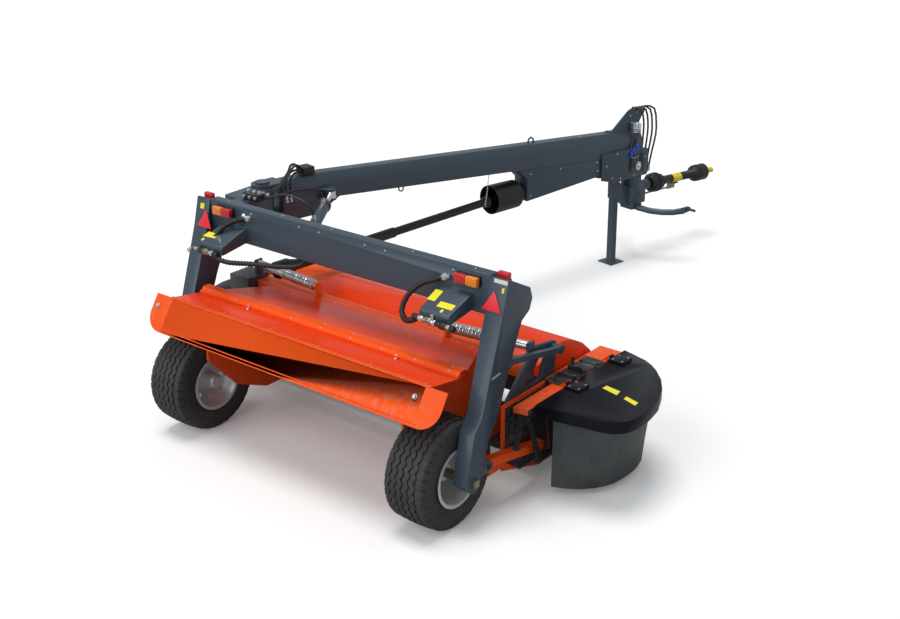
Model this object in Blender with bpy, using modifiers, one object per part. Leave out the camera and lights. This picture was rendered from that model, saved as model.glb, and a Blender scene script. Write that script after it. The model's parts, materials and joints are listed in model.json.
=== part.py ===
"""A trailed disc mower conditioner whose drawbar swings on a pivot at the left end of its carrier.

Metres, +Z up, +Y the way it is towed, +X to its right. The ground is at z = 0.
Sizes are first given in the carrier's own frame: y = 0 is the rear face of the top beam and x = 0 the
middle of the machine. The drawbar's pieces are given in the drawbar's frame: x to its right, y forward
from its pivot. The whole model is then moved so that its box stands centred on the origin.
"""

from math import asin, atan2, cos, degrees, hypot, pi, radians, sin

import bmesh
import bpy
from mathutils import Matrix, Vector

# Gaps
SEAT = 0.0003          # between pieces that touch
PIN_PLAY = 0.001       # a pin in its eye, on the radius
CLEAR = 0.006          # between pieces that move past each other

# Carrier: beam, legs and wheels
CARRIER_HALF = 1.500   # outer faces of the legs
LEG_WIDE = 0.145       # leg width at the top
LEG_FOOT_WIDE = 0.115  # leg width at the foot
BEAM_TOP = 1.724
BEAM_LOW = BEAM_TOP - 0.289
BEAM_DEEP = 0.250
TYRE_RADIUS = 0.390
TYRE_WIDE = 0.340
BEAD_RADIUS = 0.205
FLANGE_RADIUS = 0.222
RIM_HALF = 0.176
WHEEL_X = 1.192
WHEEL_Y = -0.360
AXLE_BAR = 0.050
AXLE_RADIUS = 0.030
HUB_RADIUS = 0.060
HAND_HOLES = 8
WHEEL_SIDES = 28

# Drawbar and its pivot
PIVOT = Vector((0.070 - CARRIER_HALF, 0.620, BEAM_TOP - 0.179))
REST_SWING = radians(11.5)     # to the right of straight ahead, as towed on the road
PIVOT_HUB = 0.085
PIVOT_PIN = 0.035
ARM_LOW = BEAM_LOW - 0.005
ARM_HIGH = BEAM_TOP - 0.064
FORK_PLATE = 0.025
DRAWBAR_START = 0.130
DRAWBAR_END = 4.460
DRAWBAR_HALF = 0.095
DRAWBAR_TOP_HALF = 0.055
SHOULDER_DROP = 0.090
TOP_AT_PIVOT = BEAM_TOP + 0.001  # height that the top line would have at the pivot
TOP_FALL = 0.078               # fall of the top line for each metre forward
LOW_AT_PIVOT = BEAM_TOP - 0.209
LOW_FALL = 0.086

# Driveline under the drawbar
JOINT_S = 2.620                # forward universal joint, along the drawbar
JOINT_Z = 1.030
INPUT_Z = 0.900                # input of the header's gearbox, on the pivot's axis
BOX_REAR = 2.860
BOX_FRONT = 3.865
BOX_LOW_REAR = 0.952
BOX_LOW_FRONT = 1.010
BOX_HALF = 0.090
BELL_RADIUS = 0.135
BELL_LONG = 0.400

# Hitch head
HITCH_S = 4.420
TURRET_TOP = 0.900
TURRET_LOW = 0.600
HEAD_PLATE = 0.012
PTO_START = Vector((0.0, 4.665, 0.750))
PTO_END = Vector((0.0, 5.720, 0.704))
YOKE_HALF = 0.450
YOKE_TUBE = 0.034
STAND_S = 4.165
STAND_TUBE = 0.070
STAND_TOP = 0.850
STAND_FOOT = 0.190
STAND_FOOT_THICK = 0.012
SLEEVE_LOW = 0.700

# Lift of the header: a parallelogram on each side
LINK_REAR = (-0.200, 0.450)    # y and z of the lower link's pin on the leg
LINK_REACH = (0.650, -0.130)   # from the rear pin to the front pin
LINK_LOW_X = CARRIER_HALF - 0.095
LINK_WIDE = 0.070
LINK_PIN = 0.018
LINK_EYE = 0.042
UPPER_X = (CARRIER_HALF - 0.090, CARRIER_HALF - 0.050)  # faces of the upper link
A_FRAME_THICK = 0.022
A_TOP = (0.720, 0.965)         # y and z of the upper link's pin on the header

# Header
WORKING_WIDTH = 3.160
DISC_COUNT = 8
PITCH = WORKING_WIDTH / DISC_COUNT
DISC_Y = 1.000
KNIFE_RADIUS = 0.248
DISC_LOBE = 0.190
DISC_WAIST = 0.125
BAR_LOW = 0.045
BAR_TOP = 0.095
DISC_HUB_TOP = 0.125
SKID_LOW = 0.010
SIDE_X = CARRIER_HALF - 0.130  # inner face of the outer side plates
SIDE_THICK = 0.020
DECK_Z = 0.750
SHEET = 0.006
WALL_X = 0.965                 # inner face of the channel walls
WALL_THICK = 0.020
ROTOR_Y = 0.400
ROTOR_Z = 0.440
ROTOR_RADIUS = 0.270
ROTOR_TUBE = 0.065
ROTOR_STUB = 0.025
TUBE_Y = (0.400, 0.520)        # header's main tube
TUBE_Z = (0.820, 0.940)
GEARBOX_X = (-CARRIER_HALF - 0.040, 0.180 - CARRIER_HALF)
HOOD_LINE = ((-0.500, 1.086), (-0.180, 1.036), (0.355, 0.983))
HOOD_REAR_HALF = 1.270
HOOD_FRONT_HALF = 1.000
BOARD_TOP = (-0.530, 1.095)
BOARD_LOW = (-0.685, 0.860)

# Side covers
COVER_HINGE_RIGHT = SIDE_X + 0.195
COVER_HINGE_LEFT = SIDE_X + 0.330
COVER_TOP = 0.757
HINGE_RISE = 0.014             # hinge pins stand this far above the covers
HINGE_PIN = 0.007
HINGE_EYE = 0.013
HINGE_LONG = 0.060
HINGE_BLOCK = (0.024, 0.145, 0.065, 0.024)  # on the right cover: from, to, half its length, height
COVER_LIP = 0.090
SKIRT_LOW = 0.060


def material(name, colour, roughness, metallic=0.0):
    """A Principled BSDF material."""
    made = bpy.data.materials.new(name)
    made.use_nodes = True
    shader = made.node_tree.nodes["Principled BSDF"]
    shader.inputs["Base Color"].default_value = (*colour, 1.0)
    shader.inputs["Roughness"].default_value = roughness
    shader.inputs["Metallic"].default_value = metallic
    return made


def new_object(name, data):
    """An object in the workshop collection."""
    made = bpy.data.objects.new(name, data)
    WORKSHOP.objects.link(made)
    return made


def from_bmesh(bm):
    """A mesh object made from a bmesh."""
    data = bpy.data.meshes.new("shape")
    bm.to_mesh(data)
    bm.free()
    return new_object("shape", data)


def solid_mesh(made):
    """The evaluated object as a welded mesh object that faces outwards; the first object goes."""
    bpy.context.view_layer.update()
    graph = bpy.context.evaluated_depsgraph_get()
    data = bpy.data.meshes.new_from_object(made.evaluated_get(graph))
    data.transform(made.matrix_world)
    bm = bmesh.new()
    bm.from_mesh(data)
    bmesh.ops.remove_doubles(bm, verts=bm.verts, dist=0.000002)
    bmesh.ops.recalc_face_normals(bm, faces=bm.faces)
    bm.to_mesh(data)
    bm.free()
    bpy.data.objects.remove(made)
    return new_object("shape", data)


def block(x, y, z):
    """A box between two values on each axis."""
    bm = bmesh.new()
    bmesh.ops.create_cube(bm, size=1.0)
    size = Matrix.Diagonal((x[1] - x[0], y[1] - y[0], z[1] - z[0], 1.0))
    place = Matrix.Translation(((x[0] + x[1]) / 2, (y[0] + y[1]) / 2, (z[0] + z[1]) / 2))
    bmesh.ops.transform(bm, matrix=place @ size, verts=bm.verts)
    return from_bmesh(bm)


def aim(start, end):
    """The matrix that lays local +Z from start towards end."""
    turn = Vector((0, 0, 1)).rotation_difference(end - start).to_matrix().to_4x4()
    return Matrix.Translation(start) @ turn


def rod(start, end, radius, sides=12, end_radius=None):
    """A round bar, or a cone where end_radius is given."""
    start, end = Vector(start), Vector(end)
    length = (end - start).length
    bm = bmesh.new()
    bmesh.ops.create_cone(bm, cap_ends=True, segments=sides, radius1=radius,
                          radius2=radius if end_radius is None else end_radius, depth=length)
    matrix = aim(start, end) @ Matrix.Translation((0, 0, length / 2))
    bmesh.ops.transform(bm, matrix=matrix, verts=bm.verts)
    return from_bmesh(bm)


def ball(centre, radius):
    """A ball for a universal joint."""
    bm = bmesh.new()
    bmesh.ops.create_uvsphere(bm, u_segments=12, v_segments=8, radius=radius)
    bmesh.ops.translate(bm, vec=centre, verts=bm.verts)
    return from_bmesh(bm)


PLANES = {
    "X": Matrix(((0, 0, 1, 0), (1, 0, 0, 0), (0, 1, 0, 0), (0, 0, 0, 1))),
    "Y": Matrix(((1, 0, 0, 0), (0, 0, -1, 0), (0, 1, 0, 0), (0, 0, 0, 1))),
    "Z": Matrix.Identity(4),
}


def prism(outline, axis, low, high, holes=()):
    """A flat outline, given in the two other axes, filled between low and high on this axis."""
    curve = bpy.data.curves.new("outline", "CURVE")
    curve.dimensions = "2D"
    curve.fill_mode = "BOTH"
    curve.extrude = (high - low) / 2
    for ring in (outline, *holes):
        spline = curve.splines.new("POLY")
        spline.points.add(len(ring) - 1)
        for point, (u, v) in zip(spline.points, ring):
            point.co = (u, v, 0, 1)
        spline.use_cyclic_u = True
    made = new_object("outline", curve)
    middle = (low + high) / 2
    shift = {"X": (middle, 0, 0), "Y": (0, middle, 0), "Z": (0, 0, middle)}[axis]
    made.matrix_world = Matrix.Translation(shift) @ PLANES[axis]
    return solid_mesh(made)


def softened(points, parts=3):
    """More points on a smooth line through the given ones."""
    points = [Vector(point) for point in points]
    ends = [2 * points[0] - points[1], *points, 2 * points[-1] - points[-2]]
    line = []
    for i in range(len(points) - 1):
        a, b, c, d = ends[i:i + 4]
        for k in range(parts):
            t = k / parts
            line.append(b + ((c - a) * t + (2 * a - 5 * b + 4 * c - d) * t * t
                             + (3 * b - a - 3 * c + d) * t ** 3) / 2)
    return [*line, points[-1]]


def pipe(points, radius, resolution=2):
    """A round tube along a line of points."""
    curve = bpy.data.curves.new("pipe", "CURVE")
    curve.dimensions = "3D"
    curve.bevel_depth = radius
    curve.bevel_resolution = resolution
    curve.use_fill_caps = True
    spline = curve.splines.new("POLY")
    spline.points.add(len(points) - 1)
    for point, place in zip(spline.points, points):
        point.co = (*place, 1)
    return solid_mesh(new_object("pipe", curve))


def turned(profile, start, end, sides, closed=False):
    """A profile of (radius, distance from start) turned round the line from start to end."""
    bm = bmesh.new()
    verts = [bm.verts.new((radius, 0, along)) for radius, along in profile]
    for first, second in zip(verts, verts[1:] + verts[:1] if closed else verts[1:]):
        bm.edges.new((first, second))
    made = from_bmesh(bm)
    screw = made.modifiers.new("turn", "SCREW")
    screw.axis = "Z"
    screw.steps = sides
    screw.render_steps = sides
    screw.use_merge_vertices = True
    screw.merge_threshold = 0.0001
    made.matrix_world = aim(Vector(start), Vector(end))
    return solid_mesh(made)


def loft(sections):
    """A solid through rings that have the same number of points, given in 3-D."""
    bm = bmesh.new()
    rings = [[bm.verts.new(point) for point in ring] for ring in sections]
    for ring, following in zip(rings, rings[1:]):
        for i in range(len(ring)):
            j = (i + 1) % len(ring)
            bm.faces.new((ring[i], ring[j], following[j], following[i]))
    bm.faces.new(rings[0])
    bm.faces.new(rings[-1])
    bmesh.ops.recalc_face_normals(bm, faces=bm.faces)
    return from_bmesh(bm)


def combine(first, others, operation):
    """First with the others added to it or cut from it; the others go."""
    for other in others:
        change = first.modifiers.new("combine", "BOOLEAN")
        change.operation = operation
        change.solver = "EXACT"
        change.object = other
        first = solid_mesh(first)
        bpy.data.objects.remove(other)
    return first


def fuse(first, *others):
    """One body made of several that overlap."""
    return combine(first, others, "UNION")


def cut(first, *others):
    """The first with the others' shapes taken out."""
    return combine(first, others, "DIFFERENCE")


def mirrored(made):
    """A copy on the other side of the machine's middle."""
    data = made.data.copy()
    data.transform(Matrix.Diagonal((-1, 1, 1, 1)))
    data.flip_normals()
    return new_object("shape", data)


def arc(centre, radius, first, last, count):
    """Points on an arc between two angles in degrees, both ends counted."""
    step = (last - first) / (count - 1)
    angles = [radians(first + step * i) for i in range(count)]
    return [(centre[0] + radius * cos(a), centre[1] + radius * sin(a)) for a in angles]


def circle(centre, radius, count=12):
    """A round hole's outline."""
    return arc(centre, radius, 0, 360 - 360 / count, count)


def strip(points, thick):
    """The outline of a folded sheet: its line of points and the same line set off to its left."""
    edges = [Vector(b) - Vector(a) for a, b in zip(points, points[1:])]
    normals = [Vector((-edge.y, edge.x)).normalized() for edge in edges]
    back = []
    for i, point in enumerate(points):
        near = normals[max(i - 1, 0)]
        far = normals[min(i, len(normals) - 1)]
        middle = (near + far).normalized()
        back.append(Vector(point) + middle * thick / middle.dot(far))
    return [tuple(point) for point in points] + [tuple(point) for point in reversed(back)]


def link_outline(first, second, eye, waist):
    """A bar with round eyes round two points."""
    first, second = Vector(first), Vector(second)
    heading = degrees(atan2(second.y - first.y, second.x - first.x))
    side = degrees(asin(waist / eye))
    back = arc(first, eye, heading + side, heading + 360 - side, 8)
    front = arc(second, eye, heading + 180 + side, heading + 540 - side, 8)
    return back + front


def line_at(line, y):
    """The height of a broken line at y."""
    for (y0, z0), (y1, z1) in zip(line, line[1:]):
        if y <= y1:
            break
    return z0 + (z1 - z0) * (y - y0) / (y1 - y0)


def body(name, parent, at, own=None, turn=0.0):
    """An empty on a joint's axis: at is its place in the parent's frame, own its place in its own frame."""
    empty = bpy.data.objects.new(name + "_axis", None)
    empty.empty_display_size = 0.1
    MACHINE.objects.link(empty)
    empty.location = at
    if parent:
        empty.parent = BODIES[parent][0]
        empty.location -= BODIES[parent][1]
    empty.rotation_euler.z = turn
    BODIES[name] = (empty, Vector(at if own is None else own))


def keep(name, made, owner, finish):
    """Names a finished piece and hangs it on its body."""
    empty, own = BODIES[owner]
    made.name = name
    made.data.name = name
    made.data.transform(Matrix.Translation(-own))
    made.data.materials.clear()
    made.data.materials.append(finish)
    made.data.shade_smooth()
    made.data.set_sharp_from_angle(angle=radians(32))
    made.parent = empty
    WORKSHOP.objects.unlink(made)
    MACHINE.objects.link(made)


def keep_both(name, made, owner, finish):
    """Keeps a right-hand piece and its mirror image; owner may name a body for each side."""
    other = mirrored(made)
    keep(name + "_right", made, owner.format(side="right"), finish)
    keep(name + "_left", other, owner.format(side="left"), finish)


# Places worked out from the sizes above

def beam_end():
    return CARRIER_HALF - LEG_WIDE - SEAT


def drawbar_top(s):
    return TOP_AT_PIVOT - TOP_FALL * s


def drawbar_low(s):
    return LOW_AT_PIVOT - LOW_FALL * s


def disc_x(i):
    return (i - (DISC_COUNT - 1) / 2) * PITCH


LINK_FRONT = (LINK_REAR[0] + LINK_REACH[0], LINK_REAR[1] + LINK_REACH[1])
UPPER_REAR = (A_TOP[0] - LINK_REACH[0], A_TOP[1] - LINK_REACH[1])
SWING_BASE = Vector((-0.620, 0.345, BEAM_TOP - 0.204))  # swing cylinder's pin on the beam
SWING_EYE = Vector((0.170, 0.550, BEAM_TOP - 0.204))          # its pin on the drawbar, drawbar's frame
TO_DRAWBAR = Matrix.Rotation(-REST_SWING, 4, "Z")


def swing_eye_rest():
    """The swing cylinder's drawbar pin in the carrier's frame at rest."""
    place = TO_DRAWBAR @ SWING_EYE
    return Vector((PIVOT.x + place.x, PIVOT.y + place.y, SWING_EYE.z))


# Carrier

LEG_SIDE = ((0.000, BEAM_TOP - 0.004), (-0.057, BEAM_TOP - 0.219), (-0.283, 0.834), (-0.359, 0.748),
            (-0.411, 0.535),
            (-0.454, 0.389), (-0.375, 0.310), (-0.324, 0.323), (-0.276, 0.429), (-0.188, 0.678),
            (-0.104, 0.783), (0.031, 1.120), (0.154, BEAM_LOW - 0.047), (0.240, BEAM_LOW + 0.005),
            (0.271, BEAM_TOP - 0.207), (0.244, BEAM_TOP - 0.125), (0.028, BEAM_TOP - 0.012))
BEAM_SIDE = ((0.0, BEAM_LOW), (0.0, BEAM_TOP), (0.080, BEAM_TOP), (BEAM_DEEP, BEAM_TOP - 0.124),
             (BEAM_DEEP, BEAM_LOW + 0.045), (0.180, BEAM_LOW))
MARKER_Y = (0.036, 0.076)
CONSOLE_X = (CARRIER_HALF - 0.540, CARRIER_HALF - 0.290)
CONSOLE_SIDE = ((0.020, BEAM_TOP - 0.149), (-0.250, BEAM_TOP - 0.242), (-0.262, BEAM_TOP - 0.264),
                (-0.250, BEAM_TOP - 0.312), (0.020, BEAM_TOP - 0.274))
EAR_LOW = 0.032                # a cylinder's ears above and below its axis
EAR_THICK = 0.014
EAR_RADIUS = 0.045
CYLINDER_PIN = 0.018
EYE_DRIFT = 0.010      # free play round the pin of the opened linkage


def ears(centre, base, heading):
    """Two level plates that hold a cylinder's pin, with the pin; base holds the plates' two root corners."""
    plates = []
    for side in (-1, 1):
        low = centre.z + side * (EAR_LOW + EAR_THICK / 2) - EAR_THICK / 2
        outline = list(base) + arc(centre.xy, EAR_RADIUS, heading - 90, heading + 90, 9)
        plates.append(prism(outline, "Z", low, low + EAR_THICK))
    tall = Vector((0, 0, EAR_LOW + EAR_THICK + 0.006))
    return [*plates, rod(centre - tall, centre + tall, CYLINDER_PIN)]


def make_top_beam():
    end = beam_end()
    beam = prism(BEAM_SIDE, "X", -end, end)
    inner = -end + 0.150
    outline = [(-end + 0.001, 0.050), (inner, 0.050), (inner, 0.240)]
    outline += arc(PIVOT.xy, PIVOT_HUB, -15, 195, 16)
    outline += [(-CARRIER_HALF, 0.2755), (-end + 0.001, 0.2755)]
    arm = prism(outline, "Z", ARM_LOW, ARM_HIGH)
    pin = rod((PIVOT.x, PIVOT.y, ARM_LOW - FORK_PLATE - 0.012),
              (PIVOT.x, PIVOT.y, ARM_HIGH + FORK_PLATE + 0.010),
              PIVOT_PIN, 20)
    cap_low = ARM_HIGH + FORK_PLATE + 0.002
    cap = rod((PIVOT.x, PIVOT.y, cap_low), (PIVOT.x, PIVOT.y, cap_low + 0.014), 0.060, 20)
    root = BEAM_DEEP - 0.030
    lug = ears(SWING_BASE, ((SWING_BASE.x - EAR_RADIUS, root), (SWING_BASE.x + EAR_RADIUS, root)), 90)
    consoles = [prism(CONSOLE_SIDE, "X", side * CONSOLE_X[side < 0], side * CONSOLE_X[side > 0])
                for side in (-1, 1)]
    made = fuse(beam, arm, pin, cap, *lug, *consoles, *console_hoses())
    keep("top_beam", made, "carrier", SLATE)


HOSE_RIGHT = ((0.975, 0.012, 1.628), (0.922, -0.040, 1.606), (0.832, -0.100, 1.566), (0.768, -0.160, 1.481),
              (0.757, -0.200, 1.389), (0.827, -0.240, 1.352), (0.930, -0.266, 1.392))
HOSE_LEFT = ((-0.925, 0.012, 1.650), (-1.020, -0.045, 1.625), (-1.104, -0.100, 1.572),
             (-1.140, -0.170, 1.490),
             (-1.100, -0.240, 1.420), (-1.000, -0.275, 1.385))
HOSE_RETURN = ((-1.000, -0.275, 1.385), (-0.900, -0.245, 1.372), (-0.740, -0.170, 1.375),
               (-0.554, -0.080, 1.370),
               (-0.430, 0.010, 1.378), (-0.370, 0.080, 1.450))
HOSE_RADIUS = 0.0165
FITTINGS = ((0.0, 0.0), (0.020, 0.0), (0.020, 0.040), (0.013, 0.044), (0.013, 0.095), (0.024, 0.100),
            (0.024, 0.135),
            (0.015, 0.140), (0.015, 0.215), (0.026, 0.220), (0.026, 0.262), (0.018, 0.266), (0.018, 0.330),
            (0.0, 0.330))


def console_hoses():
    """The wrapped hoses with the row of couplings on the lip of each console."""
    lip = (-0.264, BEAM_TOP - 0.312)
    right = turned(FITTINGS, Vector((0.925, *lip)), Vector((1.260, lip[0], lip[1] - 0.010)), 8)
    left = turned(FITTINGS[:7] + ((0.024, 0.190), (0.0, 0.190)), Vector((-1.020, *lip)),
                  Vector((-1.300, *lip)), 8)
    hoses = [pipe(softened(points), HOSE_RADIUS, 1) for points in (HOSE_RIGHT, HOSE_LEFT, HOSE_RETURN)]
    return [right, left, *hoses]


def make_legs():
    leg = prism(LEG_SIDE, "X", CARRIER_HALF - LEG_WIDE, CARRIER_HALF)
    bm = bmesh.new()
    bm.from_mesh(leg.data)
    bmesh.ops.bisect_plane(bm, geom=bm.verts[:] + bm.edges[:] + bm.faces[:], plane_co=(0, 0, BEAM_LOW),
                           plane_no=(0, 0, 1))
    foot = min(vert.co.z for vert in bm.verts)
    for vert in bm.verts:
        if vert.co.x < CARRIER_HALF - LEG_WIDE / 2 and vert.co.z < BEAM_LOW:
            vert.co.x += (LEG_WIDE - LEG_FOOT_WIDE) * (BEAM_LOW - vert.co.z) / (BEAM_LOW - foot)
    bm.to_mesh(leg.data)
    bm.free()
    inner = CARRIER_HALF - LEG_FOOT_WIDE
    cheeks = []
    for low in (inner, LINK_LOW_X + LINK_WIDE + CLEAR):
        high = LINK_LOW_X - CLEAR if low == inner else CARRIER_HALF
        outline = [(-0.300, 0.400), (-0.190, 0.408)] + arc(LINK_REAR, 0.040, -75, 90, 8) + [(-0.262, 0.510)]
        cheeks.append(prism(outline, "X", low, high))
    lower_pin = rod((inner, *LINK_REAR), (CARRIER_HALF, *LINK_REAR), LINK_PIN)
    hole = AXLE_BAR / 2 + SEAT
    slot = block((inner - 0.1, CARRIER_HALF + 0.1), (WHEEL_Y - hole, WHEEL_Y + hole),
                 (TYRE_RADIUS - hole, TYRE_RADIUS + hole))
    gusset = prism([(-0.395, 0.420), (-0.300, 0.420), (-0.300, 0.560), (-0.380, 0.560)], "X",
                   inner - 0.012, inner + 0.01)
    leg = cut(fuse(leg, *cheeks, lower_pin, gusset), slot)
    left = mirrored(leg)
    # Only the right side has the upper link: the header's gearbox stands where a left one would be.
    upper = []
    for low in (UPPER_X[0] - CLEAR - 0.012, UPPER_X[1] + CLEAR):
        outline = [(-0.030, 1.030)] + arc(UPPER_REAR, 0.038, -70, 110, 9) + [(0.020, 1.210)]
        upper.append(prism(outline, "X", low, low + 0.012))
    upper_pin = rod((UPPER_X[0] - CLEAR - 0.012, *UPPER_REAR), (UPPER_X[1] + CLEAR + 0.012, *UPPER_REAR),
                    LINK_PIN)
    keep("leg_right", fuse(leg, *upper, upper_pin), "carrier", SLATE)
    keep("leg_left", left, "carrier", SLATE)


def make_wheels():
    # Tyre: (radius, distance across from the wheel's middle), with four grooves between five ribs
    half = TYRE_WIDE / 2
    rib = 0.046
    groove = 0.014
    tread = []
    for i in range(5):
        middle = (i - 2) * (rib + groove)
        tread += [(TYRE_RADIUS, middle - rib / 2), (TYRE_RADIUS, middle + rib / 2)]
        if i < 4:
            tread.append((TYRE_RADIUS - 0.013, middle + (rib + groove) / 2))
    flank = [(BEAD_RADIUS, 0.148), (BEAD_RADIUS + 0.018, 0.160), (0.290, half), (0.352, half - 0.008)]
    profile = [(r, -w) for r, w in flank] + tread + [(r, w) for r, w in reversed(flank)]
    start = Vector((WHEEL_X, WHEEL_Y, TYRE_RADIUS))
    outward = start + Vector((1, 0, 0))
    keep_both("tyre", turned(profile, start, outward, WHEEL_SIDES, closed=True), "wheel_{side}", RUBBER)
    # Rim: a barrel with flanges outside the beads, its disc set towards the middle of the machine
    seat = BEAD_RADIUS - SEAT
    wall = 0.007
    well = seat - 0.028
    outer = [(FLANGE_RADIUS, -RIM_HALF), (seat, -RIM_HALF + 0.012), (seat, -0.110), (well, -0.085),
             (well, 0.050),
             (seat, 0.080), (seat, RIM_HALF - 0.012), (FLANGE_RADIUS, RIM_HALF)]
    inner = [(seat - wall, RIM_HALF), (well - wall, 0.055), (well - wall, -0.090), (seat - wall, -RIM_HALF)]
    barrel = turned(outer + inner, start, outward, WHEEL_SIDES, closed=True)
    dish_at = -0.080
    dish = turned([(HUB_RADIUS - 0.01, dish_at + 0.030), (0.110, dish_at + 0.030), (0.150, dish_at),
                   (seat - 0.030, dish_at - 0.006), (seat - 0.030, dish_at - 0.014),
                   (0.148, dish_at - 0.008),
                   (0.106, dish_at + 0.020),
                   (HUB_RADIUS - 0.01, dish_at + 0.020)], start, outward, WHEEL_SIDES, closed=True)
    hub = turned([(0.0, -0.170), (HUB_RADIUS - 0.015, -0.170), (HUB_RADIUS, -0.150), (HUB_RADIUS, 0.060),
                  (AXLE_RADIUS + PIN_PLAY, 0.060), (AXLE_RADIUS + PIN_PLAY, -0.150), (0.0, -0.150)],
                 start, outward, 16)
    holes = []
    for i in range(HAND_HOLES):
        angle = 2 * pi * i / HAND_HOLES
        place = start + Vector((dish_at, 0.140 * cos(angle), 0.140 * sin(angle)))
        holes.append(rod(place - Vector((0.06, 0, 0)), place + Vector((0.06, 0, 0)), 0.018, 8))
    keep_both("rim", cut(fuse(barrel, dish, hub), *holes), "wheel_{side}", SILVER)
    # Axle: a square bar through the leg's foot, turned down where the hub runs
    bar = AXLE_BAR / 2
    shoulder = WHEEL_X + 0.066
    square = block((shoulder, CARRIER_HALF + 0.022), (WHEEL_Y - bar, WHEEL_Y + bar),
                   (TYRE_RADIUS - bar, TYRE_RADIUS + bar))
    stub = rod((WHEEL_X - 0.148, WHEEL_Y, TYRE_RADIUS), (shoulder + 0.01, WHEEL_Y, TYRE_RADIUS),
               AXLE_RADIUS, 24)
    keep_both("axle", fuse(square, stub), "carrier", ZINC)


def make_lamps():
    lamp = block((CARRIER_HALF - 0.418, CARRIER_HALF - 0.222), (-0.058, -SEAT),
                 (BEAM_TOP - 0.098, BEAM_TOP - 0.028))
    keep_both("lamp", lamp, "carrier", LAMP_RED)
    # The marker stands on the sloping top of the leg's head
    (y0, z0), (y1, z1) = LEG_SIDE[-1], LEG_SIDE[-2]
    fall = (z1 - z0) / (y1 - y0)
    rear, front = MARKER_Y
    marker = prism([(rear, z0 + fall * (rear - y0) + 2 * SEAT),
                    (front, z0 + fall * (front - y0) + 2 * SEAT),
                    (front, BEAM_TOP + 0.024),
                    (rear, BEAM_TOP + 0.024)], "X", CARRIER_HALF - 0.125, CARRIER_HALF - 0.030)
    keep_both("marker", marker, "carrier", LAMP_RED)


# Swing cylinder

BARREL_RADIUS = 0.045
BARREL_BORE = 0.0208
SWING_ROD = 0.020
BARREL_LONG = 0.640


def make_swing_cylinder():
    eye = swing_eye_rest()
    length = (eye - SWING_BASE).length
    along = (eye - SWING_BASE).normalized()
    end = SWING_BASE + along * BARREL_LONG
    collar = BARREL_RADIUS + 0.008
    barrel = turned([(0.0, 0.075), (BARREL_RADIUS, 0.075), (BARREL_RADIUS, BARREL_LONG - 0.050),
                     (collar, BARREL_LONG - 0.050), (collar, BARREL_LONG), (BARREL_BORE, BARREL_LONG),
                     (BARREL_BORE, 0.110), (0.0, 0.110)], SWING_BASE, end, 16)
    half = EAR_LOW - 0.002
    lug = rod(SWING_BASE - Vector((0, 0, half)), SWING_BASE + Vector((0, 0, half)), 0.038, 16)
    neck = rod(SWING_BASE + along * 0.02, SWING_BASE + along * 0.085, 0.025)
    pin_hole = rod(SWING_BASE - Vector((0, 0, 0.1)), SWING_BASE + Vector((0, 0, 0.1)),
                   CYLINDER_PIN + PIN_PLAY)
    made = cut(fuse(barrel, lug, neck), pin_hole)
    keep("swing_barrel", made, "swing_barrel", SLATE)
    shaft = rod(SWING_BASE + along * (BARREL_LONG - 0.33), SWING_BASE + along * (length - 0.03), SWING_ROD)
    eye_lug = rod(eye - Vector((0, 0, half)), eye + Vector((0, 0, half)), 0.042, 16)
    eye_hole = rod(eye - Vector((0, 0, 0.1)), eye + Vector((0, 0, 0.1)), CYLINDER_PIN + EYE_DRIFT, 16)
    keep("swing_rod", cut(fuse(shaft, eye_lug), eye_hole), "swing_rod", CHROME)


# Drawbar, in its own frame

EYE_S = 2.980                  # lifting eye on its top
HOOK_S = 1.352                 # hose hook under it


def drawbar_ring(s, low, high):
    """A section of the drawbar's beam: a box whose top edges are folded in."""
    shoulder = high - SHOULDER_DROP
    return [(-DRAWBAR_HALF, s, low), (DRAWBAR_HALF, s, low), (DRAWBAR_HALF, s, shoulder),
            (DRAWBAR_TOP_HALF, s, high), (-DRAWBAR_TOP_HALF, s, high), (-DRAWBAR_HALF, s, shoulder)]


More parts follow.
